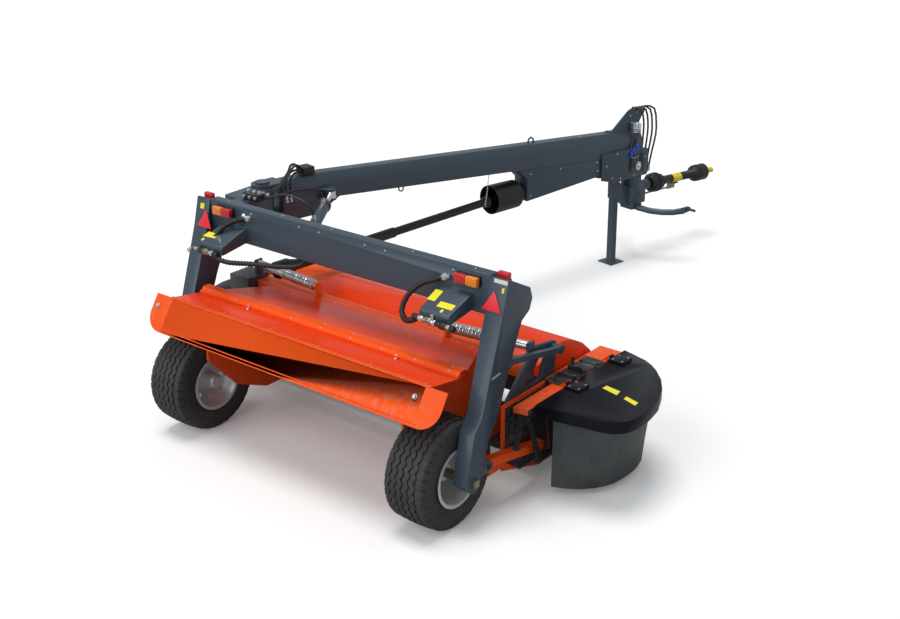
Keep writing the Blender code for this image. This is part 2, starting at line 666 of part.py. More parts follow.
def make_drawbar():
    fork_top = ARM_HIGH + FORK_PLATE
    fork_low = ARM_LOW - FORK_PLATE
    straight = 0.560
    beam = loft([drawbar_ring(DRAWBAR_START, fork_low + 0.003, fork_top - 0.003),
                 drawbar_ring(straight, drawbar_low(straight), drawbar_top(straight)),
                 drawbar_ring(DRAWBAR_END, drawbar_low(DRAWBAR_END), drawbar_top(DRAWBAR_END))])
    half = DRAWBAR_HALF - 0.002
    outline = arc((0, 0), half, 180, 360, 11) + [(half, DRAWBAR_START + 0.030),
                                                 (-half, DRAWBAR_START + 0.030)]
    hole = [circle((0, 0), PIVOT_PIN + PIN_PLAY, 20)]
    upper = prism(outline, "Z", ARM_HIGH + PIN_PLAY, fork_top, hole)
    lower = prism(outline, "Z", fork_low, ARM_LOW - PIN_PLAY, hole)
    gusset = [(0.110, fork_low + 0.008), (0.300, 1.334), (0.490, 1.334),
              (0.730, drawbar_low(0.730) + 0.006),
              (0.730, drawbar_low(0.730) + 0.040), (0.500, 1.500), (0.300, fork_low + 0.015),
              (0.110, fork_low + 0.015)]
    gussets = [prism(gusset, "X", side * 0.060 - 0.008, side * 0.060 + 0.008) for side in (-1, 1)]
    root = DRAWBAR_HALF - 0.025
    lug = ears(SWING_EYE, ((root, SWING_EYE.y + 0.090), (root, SWING_EYE.y - 0.090)), 0)
    top = drawbar_top(EYE_S)
    eye = pipe([(0, EYE_S - 0.035, top - 0.006), (0, EYE_S - 0.030, top + 0.034), (0, EYE_S, top + 0.052),
                (0, EYE_S + 0.030, top + 0.034), (0, EYE_S + 0.035, top - 0.008)], 0.009, 1)
    low = drawbar_low(HOOK_S)
    hook = pipe([(0.080, HOOK_S - 0.026, low + 0.006), (0.080, HOOK_S - 0.022, low - 0.026),
                 (0.080, HOOK_S, low - 0.040),
                 (0.080, HOOK_S + 0.022, low - 0.030), (0.080, HOOK_S + 0.026, low + 0.005)], 0.007, 1)
    keep("drawbar_beam", fuse(beam, upper, lower, *gussets, *lug, eye, hook), "drawbar", SLATE)


def make_driveline_box():
    low_rear = (BOX_REAR, BOX_LOW_REAR)
    outline = [(BOX_REAR - 0.110, drawbar_low(BOX_REAR - 0.110) - SEAT), (BOX_REAR, 1.170), low_rear,
               (BOX_FRONT, BOX_LOW_FRONT), (BOX_FRONT, drawbar_low(BOX_FRONT) - SEAT)]
    keep("driveline_box", prism(outline, "X", -BOX_HALF, BOX_HALF), "drawbar", SLATE)


def make_driveline_bell():
    start = Vector((0, BOX_REAR - SEAT, JOINT_Z))
    end = Vector((0, 0, JOINT_Z))
    wall = 0.005
    deep = BELL_LONG
    shell = turned([(0.0, 0.0), (0.070, 0.0), (BELL_RADIUS, 0.090), (BELL_RADIUS + 0.004, deep),
                    (BELL_RADIUS + 0.004 - wall, deep), (BELL_RADIUS - wall, 0.094), (0.066, wall),
                    (0.0, wall)],
                   start, end, 20)
    reach = BOX_REAR - SEAT - JOINT_S
    cup = turned([(0.0, 0.0), (0.030, 0.0), (0.030, reach - 0.055), (0.064, reach - 0.050),
                  (0.064, reach + 0.030), (0.0535, reach + 0.030), (0.0535, reach - 0.052),
                  (0.0, reach - 0.052)],
                 start, end, 16)
    keep("driveline_bell", fuse(shell, cup), "drawbar", BLACK_PLASTIC)


def make_driveline_guard():
    front = Vector((0, JOINT_S, JOINT_Z))
    rear = Vector((0, 0, INPUT_Z))
    along = (rear - front).normalized()
    length = (rear - front).length
    knuckle = ball(front, 0.051)
    neck = rod(front + along * 0.02, front + along * 0.20, 0.028)
    slim = turned([(0.0, 0.190), (0.060, 0.190), (0.038, 0.260), (0.038, 1.40), (0.0, 1.40)], front, rear,
                  14)
    wide = turned([(0.0, 1.30), (0.046, 1.30), (0.046, length - 0.26), (0.078, length - 0.20),
                   (0.078, length - 0.075), (0.060, length - 0.075), (0.060, length - 0.19),
                   (0.0, length - 0.19)],
                  front, rear, 16)
    keep("driveline_guard", fuse(knuckle, neck, slim, wide), "driveline", BLACK_PLASTIC)


def make_hitch_head():
    # Side plates of the head, which carry the gearbox and the stand's sleeve
    low = 0.905
    outline = [(BOX_FRONT + SEAT, drawbar_low(BOX_FRONT) + 0.05), (BOX_FRONT + SEAT, 0.960), (4.050, low),
               (HITCH_S + 0.120, low), (HITCH_S + 0.120, 1.180), (4.400, drawbar_low(4.400) + 0.08)]
    plates = [prism(outline, "X", side * (DRAWBAR_HALF + SEAT) + min(0, side) * HEAD_PLATE,
                    side * (DRAWBAR_HALF + SEAT) + max(0, side) * HEAD_PLATE) for side in (-1, 1)]
    tube = STAND_TUBE / 2
    wall = 0.008
    hole = tube + PIN_PLAY / 2
    outer = hole + wall
    sleeve = block((-outer, outer), (STAND_S - outer, STAND_S + outer),
                   (SLEEVE_LOW, drawbar_low(STAND_S) - 0.012))
    bore = block((-hole, hole), (STAND_S - hole, STAND_S + hole),
                 (SLEEVE_LOW - 0.1, drawbar_low(STAND_S) - 0.02))
    web = block((-DRAWBAR_HALF - 0.005, DRAWBAR_HALF + 0.005),
                (STAND_S - outer - 0.05, STAND_S - outer + 0.001),
                (0.960, 1.120))
    made = fuse(plates[0], web, plates[1], sleeve)
    keep("hitch_head", cut(made, bore), "drawbar", SLATE)
    # Gearbox between the plates
    gear = block((-DRAWBAR_HALF + 0.004, DRAWBAR_HALF - 0.004), (HITCH_S - 0.160, HITCH_S + 0.150),
                 (low + 0.010, 1.110))
    flange = rod((0, HITCH_S, TURRET_TOP + PIN_PLAY / 2), (0, HITCH_S, low + 0.03), 0.092, 28)
    trunnion = rod((-DRAWBAR_HALF, HITCH_S - 0.02, 1.02), (DRAWBAR_HALF, HITCH_S - 0.02, 1.02), 0.050)
    keep("gearbox_front", fuse(gear, flange, trunnion), "drawbar", GREY_IRON)


MAST = ((4.035, 0.0), (4.285, 1.598), (4.330, 1.614), (4.428, 1.609), (4.495, 1.556), (4.500, 1.530),
        (4.405, 0.0))
MAST_HOSES = 4


def make_nose_mast():
    """The leaning plate on the drawbar's nose, with the hoses that hang over its top."""
    side = [(s, z if z else drawbar_top(s) + SEAT) for s, z in MAST]
    mast = prism(side, "X", 0.028, 0.042)
    first, last = MAST[0][0], MAST[-1][0]
    foot = loft([[(-0.040, s, drawbar_top(s) + SEAT), (0.050, s, drawbar_top(s) + SEAT),
                  (0.050, s, drawbar_top(s) + 0.010), (-0.040, s, drawbar_top(s) + 0.010)] for s in (first,
                                                                                                     last)])
    bar = rod((-0.050, 4.440, 1.575), (0.105, 4.440, 1.575), 0.014, 10)
    hoses = []
    for i in range(MAST_HOSES):
        x = -0.026 + 0.037 * i
        wide = 0.022 * i
        line = [(x, 4.430, 1.578), (x, 4.480, 1.594 + wide / 2), (x, 4.560 + wide, 1.545 + wide / 2),
                (x, 4.600 + wide, 1.430), (x, 4.603 + wide, 1.300), (x, 4.592 + wide / 2, 1.140),
                (x, 4.586, 0.980), (x, 4.585, 0.928)]
        hoses.append(pipe(softened(line, 2), 0.0105, 1))
    keep("nose_mast", fuse(mast, foot, bar, *hoses), "drawbar", SLATE)


def make_turret():
    top = rod((0, HITCH_S, TURRET_TOP - 0.14), (0, HITCH_S, TURRET_TOP), 0.105, 28)
    case = block((-0.092, 0.092), (HITCH_S - 0.110, HITCH_S + 0.130), (TURRET_LOW, TURRET_TOP - 0.10))
    stub = rod((0, HITCH_S + 0.10, PTO_START.z), PTO_START - Vector((0, 0.001, 0)), 0.055, 24)
    keep("hitch_turret", fuse(top, case, stub), "turret", SLATE)


def make_hitch_yoke():
    z = TURRET_LOW - YOKE_TUBE - SEAT
    path = [(0, HITCH_S + 0.02, z), (0.10, HITCH_S + 0.03, z - 0.01), (0.20, HITCH_S + 0.10, z - 0.035),
            (0.30, HITCH_S + 0.17, z - 0.040), (0.39, HITCH_S + 0.235, z - 0.032),
            (YOKE_HALF, HITCH_S + 0.33, z - 0.022)]
    right = pipe(path, YOKE_TUBE, 2)
    left = pipe([(-x, y, zz) for x, y, zz in path], YOKE_TUBE, 2)
    tips = []
    for side in (-1, 1):
        x = side * YOKE_HALF
        blade = prism([(HITCH_S + 0.30, z - 0.050), (HITCH_S + 0.40, z - 0.040)] +
                      arc((HITCH_S + 0.400, z - 0.015), 0.025, -60, 100, 7) + [(HITCH_S + 0.30, z + 0.012)],
                      "X", x - 0.014, x + 0.014)
        peg = rod((x - side * 0.010, HITCH_S + 0.395, z - 0.015),
                  (x + side * 0.095, HITCH_S + 0.395, z - 0.015), 0.014, 16)
        tips += [blade, peg]
    pad = block((-0.080, 0.080), (HITCH_S - 0.060, HITCH_S + 0.090), (z - 0.020, TURRET_LOW - SEAT))
    keep("hitch_yoke", fuse(pad, right, left, *tips), "turret", SLATE)


def make_pto():
    along = (PTO_END - PTO_START).normalized()
    length = (PTO_END - PTO_START).length
    bore = 0.026
    profile = [(bore, 0.030), (0.070, 0.030), (0.098, 0.060), (0.100, 0.150), (0.078, 0.190),
               (0.054, 0.235),
               (0.044, 0.270), (0.044, length - 0.345), (0.060, length - 0.335), (0.084, length - 0.310),
               (0.090, length - 0.150), (0.084, length - 0.150), (0.078, length - 0.235),
               (bore, length - 0.235)]
    guard = turned(profile, PTO_START, PTO_END, 16, closed=True)
    keep("pto_guard", guard, "turret", BLACK_PLASTIC)
    shaft = rod(PTO_START + along * 0.0008, PTO_START + along * (length - 0.12), 0.020)
    hub = rod(PTO_START + along * (length - 0.170), PTO_START + along * (length - 0.100), 0.042, 20)
    sleeve = rod(PTO_START + along * (length - 0.110), PTO_END, 0.030, 20)
    keep("pto_shaft", fuse(shaft, hub, sleeve), "pto_shaft", YELLOW)
    # Angle bracket and rod that hold the guard
    under = PTO_START + along * 0.420
    z = under.z - 0.0508
    shelf = block((-0.030, 0.030), (under.y - 0.060, under.y + 0.060), (z - 0.008, z))
    hanger = block((-0.030, -0.022), (under.y - 0.060, under.y + 0.060), (z - 0.070, z - 0.004))
    strut = pipe([(-0.026, HITCH_S + 0.130 + SEAT, 0.640), (-0.026, under.y + 0.03, z - 0.050)], 0.010)
    keep("pto_bracket", fuse(shelf, hanger, strut), "turret", ZINC)


def make_stand():
    tube = STAND_TUBE / 2
    leg = block((-tube, tube), (STAND_S - tube, STAND_S + tube), (STAND_FOOT_THICK - 0.002, STAND_TOP))
    half = STAND_FOOT / 2
    foot = block((-half, half), (STAND_S - half, STAND_S + half), (0.0, STAND_FOOT_THICK))
    keep("stand", fuse(leg, foot), "stand", SLATE)


# Header

LINKAGE_X = (CARRIER_HALF + 0.008, CARRIER_HALF + 0.040)


def make_links():
    outline = link_outline(LINK_REAR, LINK_FRONT, LINK_EYE, 0.030)
    holes = [circle(place, LINK_PIN + PIN_PLAY) for place in (LINK_REAR, LINK_FRONT)]
    lower = prism(outline, "X", LINK_LOW_X, LINK_LOW_X + LINK_WIDE, holes)
    keep_both("lower_link", lower, "lower_link", ORANGE)
    outline = link_outline(UPPER_REAR, A_TOP, 0.034, 0.020)
    holes = [circle(place, LINK_PIN + PIN_PLAY) for place in (UPPER_REAR, A_TOP)]
    keep("upper_link", prism(outline, "X", *UPPER_X, holes), "upper_link", SLATE)


SIDE_OUTLINE = ((0.100, 0.240), (0.540, 0.100), (0.715, 0.100), (0.735, 0.300), (1.300, 0.330),
                (1.358, 0.440),
                (1.358, DECK_Z - 0.010), (0.100, DECK_Z - 0.010))


DECK_INNER = SIDE_X + 0.085     # the right-hand deck's inner edge, behind the slot's end


def make_side_plates():
    outer = SIDE_X + SIDE_THICK
    plate = prism(SIDE_OUTLINE, "X", SIDE_X, outer)
    pin = rod((SIDE_X + 0.01, *LINK_FRONT), (LINK_LOW_X + LINK_WIDE + 0.012, *LINK_FRONT), LINK_PIN)
    washer = rod((outer - 0.001, *LINK_FRONT), (LINK_LOW_X - CLEAR / 2, *LINK_FRONT), 0.034)
    bar = block((SIDE_X, outer), (-0.060, 0.150), (0.270, 0.330))
    right = fuse(plate, pin, washer, bar)
    left = mirrored(right)
    deck_low = DECK_Z - SHEET * 2
    deck_end = COVER_HINGE_RIGHT - CLEAR
    deck = prism([(DECK_INNER, 0.130), (deck_end, 0.150), (deck_end, 1.358), (SIDE_X, 1.358),
                  (SIDE_X, 0.640),
                  (DECK_INNER, 0.640)], "Z", deck_low, DECK_Z)
    flange = prism([(DECK_INNER, 0.130), (deck_end, 0.150), (deck_end, 0.156), (DECK_INNER, 0.136)], "Z",
                   DECK_Z - 0.045, DECK_Z - 0.002)
    rib = block((outer - 0.002, COVER_HINGE_RIGHT - 0.020), (0.640, 0.655), (0.560, deck_low + 0.001))
    keep("side_plate_right", fuse(right, deck, flange, rib, *hinge_ears(COVER_HINGE_RIGHT, HINGES_RIGHT)),
         "header", ORANGE)
    deck = prism([(-0.886, 0.640), (-COVER_HINGE_LEFT + CLEAR, 0.640), (-COVER_HINGE_LEFT + CLEAR, 1.358),
                  (-0.886, 1.358)], "Z", deck_low, DECK_Z)
    ears_left = []
    for ear in hinge_ears(COVER_HINGE_LEFT, HINGES_LEFT):
        ears_left.append(mirrored(ear))
        bpy.data.objects.remove(ear)
    keep("side_plate_left", fuse(left, deck, *ears_left), "header", ORANGE)


def make_side_linkage():
    """Black plate, links and catches of the right-hand side, seen between the deck and the ground."""
    washer_gap = circle(LINK_FRONT, 0.040, 16)
    first = SIDE_X + SIDE_THICK + SEAT
    plate = prism([(0.125, 0.300), (0.300, 0.170), (0.630, 0.170), (0.630, 0.715), (0.125, 0.715)], "X",
                  first, first + 0.008, [washer_gap])
    near, far = LINKAGE_X
    beam = block((first + 0.002, far), (0.585, 0.612), (0.600, 0.625))
    post = block((near + 0.004, far - 0.004), (0.588, 0.609), (0.610, 0.715))
    rail = block((near - 0.003, far + 0.003), (0.160, 0.607), (0.690, 0.7195))
    pieces = [plate, beam, post, rail]
    middle = (near + far) / 2
    for start, end, inner, outer in (((0.180, 0.700), (0.080, 0.480), near, middle - 0.001),
                                     ((0.185, 0.700), (0.342, 0.275), middle, far),
                                     ((0.455, 0.700), (0.525, 0.290), near, middle - 0.001),
                                     ((0.342, 0.275), (0.560, 0.270), near + 0.002, middle + 0.003)):
        pieces.append(prism(link_outline(start, end, 0.030, 0.021), "X", inner, outer))
        pieces.append(rod((near - 0.006, *end), (far + 0.010, *end), 0.014, 10))
    pieces.append(rod((near - 0.006, 0.185, 0.665), (far + 0.010, 0.185, 0.665), 0.016, 10))
    pieces.append(rod((near - 0.006, 0.455, 0.660), (far + 0.010, 0.455, 0.660), 0.016, 10))
    # Catch plate on the deck, its web through the slot, and two levers
    top = DECK_Z + SEAT
    cover_edge = COVER_HINGE_RIGHT - CLEAR - 0.003
    catch = prism([(first + 0.004, 0.590), (cover_edge - 0.044, 0.590), (cover_edge - 0.044, 0.666),
                   (cover_edge, 0.666),
                   (cover_edge, 1.120), (first + 0.004, 1.120)], "Z", top, top + 0.010)
    web = block((first + 0.012, first + 0.030), (0.593, 0.610), (0.613, top + 0.008))
    pieces += [catch, web]
    for y, tall in ((0.730, 0.034), (0.860, 0.050), (1.010, 0.030)):
        pieces.append(block((first + 0.030, cover_edge - 0.002), (y - 0.018, y + 0.018),
                            (top + 0.006, top + tall)))
    pieces.append(rod((first + 0.060, 0.860, top + 0.030), (first + 0.060, 0.860, top + 0.110), 0.010, 8))
    keep("side_linkage", fuse(*pieces), "header", BLACK_STEEL)


def make_header_tube():
    tube = block((GEARBOX_X[1] + SEAT, SIDE_X - A_FRAME_THICK - SEAT), TUBE_Y, TUBE_Z)
    lugs = []
    for side in (-1, 1):
        x = side * SPRING_INNER[0]
        lugs.append(prism([(0.400, TUBE_Z[1] - 0.01), (0.470, TUBE_Z[1] - 0.01),
                           (0.440, SPRING_INNER[2] + 0.03),
                           (0.385, SPRING_INNER[2] + 0.03)], "X", x - 0.012, x + 0.012))
    keep("header_tube", fuse(tube, *lugs), "header", ORANGE)


SPRING_INNER = (0.650, 0.415, 1.038)
SPRING_OUTER = (SIDE_X - A_FRAME_THICK - SEAT, 0.455, 1.058)
SPRING_POST_Y = (0.420, 0.495)
SPRING_RADIUS = 0.044


def make_springs():
    """Each suspension spring: collars, nine turns of the coil as ridges, and a smooth tube behind them."""
    turns = 9
    rise = 0.036
    first_turn = 0.050
    profile = [(0.0, 0.0), (0.024, 0.0), (0.024, 0.020), (SPRING_RADIUS, 0.020),
               (SPRING_RADIUS, first_turn - 0.018)]
    for i in range(turns):
        middle = first_turn + rise * i
        profile += [(0.030, middle - rise / 2), (SPRING_RADIUS, middle)]
    coil_end = first_turn + rise * (turns - 0.5)
    profile += [(0.030, coil_end), (SPRING_RADIUS, coil_end + 0.002), (SPRING_RADIUS, coil_end + 0.020),
                (0.034, coil_end + 0.020)]
    for name, side in (("spring_right", 1), ("spring_left", -1)):
        first = Vector((side * (SPRING_INNER[0] + 0.014), SPRING_INNER[1], SPRING_INNER[2]))
        last = Vector((side * SPRING_OUTER[0], SPRING_OUTER[1], SPRING_OUTER[2]))
        length = (last - first).length
        shape = profile + [(0.034, length - 0.004), (0.0, length - 0.004)]
        keep(name, turned(shape, first, last, 10), "header", CHROME)


def make_a_frame():
    outline = [(0.170, 0.650), (0.270, 0.650), (0.420, 0.745), (0.600, 0.745), (0.640, 0.560),
               (0.720, 0.560)]
    outline += arc(A_TOP, 0.048, -10, 70, 5) + [(0.520, 1.046), (0.465, 1.030), (0.160, 0.735)]
    window = [(0.380, 0.775), (0.570, 0.775), (0.630, 0.935), (0.560, 0.945)]
    plate = prism(outline, "X", SIDE_X - A_FRAME_THICK, SIDE_X - SEAT, [window])
    pin = rod((SIDE_X - A_FRAME_THICK, *A_TOP), (UPPER_X[1] + 0.010, *A_TOP), LINK_PIN)
    washer = rod((SIDE_X - 0.001, *A_TOP), (UPPER_X[0] - CLEAR / 2, *A_TOP), 0.032)
    post = block((SIDE_X - A_FRAME_THICK, SIDE_X - 0.001), SPRING_POST_Y, (0.800, SPRING_OUTER[2] + 0.035))
    keep("a_frame", fuse(plate, pin, washer, post), "header", SLATE)


def make_hood():
    (ridge_y, ridge_z), (front_y, front_z) = HOOD_LINE[1:]
    rings = []
    for (y, z), half in zip(HOOD_LINE, (HOOD_REAR_HALF, HOOD_REAR_HALF, HOOD_FRONT_HALF)):
        rings.append([(-half, y, z - SHEET), (half, y, z - SHEET), (half, y, z), (-half, y, z)])
    under = ridge_z - 0.025
    ridge = prism([(ridge_y - 0.062, under), (ridge_y - 0.062, ridge_z + 0.016),
                   (ridge_y - 0.030, ridge_z + 0.048),
                   (ridge_y + 0.030, ridge_z + 0.044), (ridge_y + 0.058, ridge_z + 0.004),
                   (ridge_y + 0.058, under)], "X", -HOOD_REAR_HALF + 0.002, HOOD_REAR_HALF - 0.002)
    brace = block((-WALL_X + 0.002, WALL_X - 0.002), (0.300, front_y - 0.010), (0.900, front_z - 0.003))
    keep("hood", fuse(loft(rings), ridge, brace), "header", RED_ORANGE)


def make_channel_walls():
    def under(y):
        return line_at(HOOD_LINE, y) - SHEET - SEAT
    ridge_y = HOOD_LINE[1][0]
    ridge_low = HOOD_LINE[1][1] - 0.025 - SEAT
    outline = [(-0.470, 0.620), (-0.200, 0.330), (0.100, 0.200), (0.620, 0.200), (0.640, 0.500),
               (0.640, 0.700), (0.545, 0.765),
               (TUBE_Y[1], TUBE_Z[0] - SEAT), (TUBE_Y[0] - SEAT, TUBE_Z[0] - SEAT),
               (HOOD_LINE[2][0], 0.880),
               (HOOD_LINE[2][0], under(HOOD_LINE[2][0])),
               (ridge_y + 0.058 + SEAT, under(ridge_y + 0.058 + SEAT)),
               (ridge_y + 0.058 + SEAT, ridge_low), (ridge_y - 0.062 - SEAT, ridge_low),
               (ridge_y - 0.062 - SEAT, under(ridge_y - 0.062 - SEAT)), (-0.470, under(-0.470))]
    wall = prism(outline, "X", WALL_X, WALL_X + WALL_THICK,
                 [circle((ROTOR_Y, ROTOR_Z), ROTOR_STUB + PIN_PLAY)])
    keep_both("channel_wall", wall, "header", ORANGE)


def make_rear_board():
    top_y, top_z = BOARD_TOP
    low_y, low_z = BOARD_LOW
    hood_y = HOOD_LINE[0][0] - SEAT
    line = [(hood_y, HOOD_LINE[0][1] - 0.030), (hood_y, HOOD_LINE[0][1] + 0.006), (top_y, top_z),
            (low_y, low_z),
            (low_y + 0.030, low_z - 0.020)]
    panel = prism(strip(line, SHEET), "X", -HOOD_REAR_HALF, HOOD_REAR_HALF)
    slope = atan2(top_z - low_z, top_y - low_y)
    tall = hypot(top_z - low_z, top_y - low_y)
    wings = []
    for side in (-1, 1):
        reach = 0.150
        outline = [(-0.030, 0.0)] + arc((0.0, 0.150), reach, -90, 0, 8) + [(reach, tall), (-0.030, tall)]
        wing = prism(outline, "Z", -SHEET + 0.0015, 0.0015)
        wing.data.transform(Matrix.Translation((HOOD_REAR_HALF, low_y, low_z)) @ Matrix.Rotation(slope, 4,
                                                                                                 "X"))
        if side < 0:
            other = mirrored(wing)
            bpy.data.objects.remove(wing)
            wing = other
        wings.append(wing)
    keep("rear_board", fuse(panel, *wings), "header", ORANGE)


def make_front_hood():
    left, right = -0.880, SIDE_X - A_FRAME_THICK - SEAT
    outer = [(0.560, 0.780), (0.580, 0.860), (0.660, 0.915), (0.780, 0.945), (0.900, 0.945), (1.020, 0.910),
             (1.140, 0.845), (1.250, 0.750), (1.320, 0.650), (1.350, 0.560)]
    inner = [(0.566, 0.770), (0.586, 0.856), (0.663, 0.908), (0.781, 0.938), (0.898, 0.938), (1.017, 0.904),
             (1.136, 0.839), (1.245, 0.745), (1.314, 0.647), (1.344, 0.550)]
    solid = prism(outer, "X", left, right)
    hollow = prism(inner, "X", left + SHEET, right - SHEET)
    below = prism([(0.5, 0.5), (0.5, 0.790), (0.566, 0.782), (1.344, 0.568), (1.4, 0.5)], "X", left + SHEET,
                  right - SHEET)
    keep("front_hood", cut(solid, hollow, below), "header", RED_ORANGE)


def make_front_curtain():
    y = 1.358 + SEAT
    rail = block((-SIDE_X, SIDE_X), (y, y + 0.022), (0.520, 0.580))
    drape = block((-SIDE_X, SIDE_X), (y + 0.006, y + 0.014), (0.120, 0.525))
    keep("front_curtain", fuse(rail, drape), "header", GREY_CANVAS)


def make_crop_ramp():
    line = [(0.857, 0.088), (0.640, 0.088), (0.520, 0.118)]
    keep("crop_ramp", prism(strip(line, -0.008), "X", -SIDE_X + SEAT, SIDE_X - SEAT), "header", GREY_IRON)


def make_cutterbar():
    half = WORKING_WIDTH / 2 - 0.045
    case = prism([(0.857 + SEAT, BAR_LOW), (1.130, BAR_LOW), (1.165, BAR_LOW + 0.018), (1.130, BAR_TOP),
                  (0.857 + SEAT, BAR_TOP)], "X", -half, half)
    parts = []
    for i in range(DISC_COUNT):
        x = disc_x(i)
        parts.append(rod((x, DISC_Y, BAR_TOP - 0.01), (x, DISC_Y, DISC_HUB_TOP), 0.075, 12))
        shoe = prism(strip([(0.870, SKID_LOW), (1.080, SKID_LOW), (1.150, 0.030), (1.200, 0.072)], 0.008),
                     "X",
                     x - 0.150, x + 0.150)
        pad = block((x - 0.080, x + 0.080), (0.900, 1.060), (SKID_LOW + 0.004, BAR_LOW + 0.01))
        nose = block((x - 0.060, x + 0.060), (1.120, 1.185), (0.046, 0.066))
        parts += [shoe, pad, nose]
    keep("cutterbar", fuse(case, *parts), "header", GREY_IRON)


def disc_outline(phase):
    """Three round lobes joined by hollows, for the knives."""
    points = []
    count = 18
    for i in range(count):
        angle = 2 * pi * i / count
        swell = (1 + cos(3 * (angle - phase))) / 2
        radius = DISC_WAIST + (DISC_LOBE - DISC_WAIST) * swell
        points.append((radius * cos(angle), radius * sin(angle)))
    return points


def make_discs():
    low = DISC_HUB_TOP + PIN_PLAY / 2
    for i in range(DISC_COUNT):
        x = disc_x(i)
        phase = pi / 2 + (pi / 3 if i % 2 else 0.0)
        outline = [(x + u, DISC_Y + v) for u, v in disc_outline(phase)]
        plate = prism(outline, "Z", low + 0.012, low + 0.022)
        hub = turned([(0.0, low), (0.060, low), (0.060, low + 0.015), (0.105, low + 0.020),
                      (0.070, low + 0.055),
                      (0.0, low + 0.062)], (x, DISC_Y, 0), (x, DISC_Y, 1), 10)
        knives = []
        for k in range(3):
            heading = phase + 2 * pi * k / 3
            knife = prism([(0.155, -0.022), (KNIFE_RADIUS - 0.010, -0.022), (KNIFE_RADIUS - 0.002, 0.022),
                           (0.155, 0.022)],
                          "Z", low + 0.006, low + 0.0125)
            knife.data.transform(Matrix.Translation((x, DISC_Y, 0)) @ Matrix.Rotation(heading, 4, "Z"))
            knives.append(knife)
        keep(f"disc_{i + 1}", fuse(plate, hub, *knives), f"disc_{i + 1}", GREY_IRON)


def make_rotor():
    reach = WALL_X - CLEAR
    tube = rod((-reach, ROTOR_Y, ROTOR_Z), (reach, ROTOR_Y, ROTOR_Z), ROTOR_TUBE, 24)
    stub = rod((-WALL_X - WALL_THICK - 0.008, ROTOR_Y, ROTOR_Z),
               (WALL_X + WALL_THICK + 0.008, ROTOR_Y, ROTOR_Z), ROTOR_STUB)
    tines = []
    rows = 4
    across = 10
    for row in range(rows):
        angle = 2 * pi * row / rows
        turn = Matrix.Translation((0, ROTOR_Y, ROTOR_Z)) @ Matrix.Rotation(angle, 4, "X")
        for i in range(across):
            x = (i - (across - 1) / 2 + (0.5 if row % 2 else 0.0) - 0.25) * 2 * reach / across
            tine = prism([(ROTOR_TUBE - 0.010, -0.016), (0.150, -0.012), (ROTOR_RADIUS, -0.055),
                          (ROTOR_RADIUS, -0.035),
                          (0.155, 0.012), (ROTOR_TUBE - 0.010, 0.016)], "X", x - 0.007, x + 0.007)
            tine.data.transform(turn)
            tines.append(tine)
    keep("rotor", fuse(tube, stub, *tines), "rotor", BLACK_STEEL)


def make_header_gearbox():
    case = block(GEARBOX_X, (0.300, 0.520), (0.760, 0.975))
    foot = block((-SIDE_X - 0.018, 0.070 - SIDE_X), (0.300, 0.520), (DECK_Z - 0.0097, 0.800))
    stub = rod((PIVOT.x, 0.510, INPUT_Z), (PIVOT.x, PIVOT.y - 0.050, INPUT_Z), 0.042, 24)
    tower_x = 0.070 - SIDE_X
    tower = rod((tower_x, 0.580, 0.130), (tower_x, 0.580, 0.700), 0.045, 20)
    reach = block((tower_x - 0.045, tower_x - 0.010), (0.500, 0.600), (0.640, 0.780))
    post = block((-SIDE_X + 0.001, -SIDE_X + A_FRAME_THICK), SPRING_POST_Y,
                 (0.960, SPRING_OUTER[2] + 0.035))
    keep("header_gearbox", fuse(case, foot, stub, tower, reach, post), "header", GREY_IRON)


def hinge_ears(hinge, places):
    """On the right-hand deck: pins along the cover's edge, each between two ears that stand on the deck."""
    made = []
    axis_z = COVER_TOP + HINGE_RISE
    for y in places:
        half = HINGE_LONG / 2 + PIN_PLAY
        made.append(rod((hinge, y - half - 0.008, axis_z), (hinge, y + half + 0.008, axis_z), HINGE_PIN,
                        10))
        for low in (y - half - 0.008, y + half):
            made.append(prism([(hinge - 0.045, DECK_Z - 0.004), (hinge - CLEAR - 0.001, DECK_Z - 0.004),
                               (hinge - CLEAR - 0.001, COVER_TOP)] + arc((hinge, axis_z), 0.010, -100, 100,
                                                                         6) +
                              [(hinge - 0.012, axis_z + 0.010), (hinge - 0.045, DECK_Z + 0.004)], "Y", low,
                              low + 0.008))
    return made


def hinge_eyes(hinge, places):
    """On the right-hand cover: an eye round each pin, on a leaf that is fixed to the cover."""
    made = []
    axis_z = COVER_TOP + HINGE_RISE
    for y in places:
        low, high = y - HINGE_LONG / 2, y + HINGE_LONG / 2
        outline = [(hinge + 0.002, COVER_TOP - 0.003), (hinge + 0.075, COVER_TOP - 0.003),
                   (hinge + 0.075, COVER_TOP + 0.006),
                   (hinge + 0.018, COVER_TOP + 0.008)] + arc((hinge, axis_z), HINGE_EYE, 0, 250, 10)
        made.append(prism(outline, "Y", low, high, [circle((hinge, axis_z), HINGE_PIN + PIN_PLAY / 2, 10)]))
        if hinge == COVER_HINGE_RIGHT:
            start, end, half, tall = HINGE_BLOCK
            made.append(block((hinge + start, hinge + end), (y - half, y + half),
                              (COVER_TOP - 0.003, COVER_TOP + tall)))
    return made


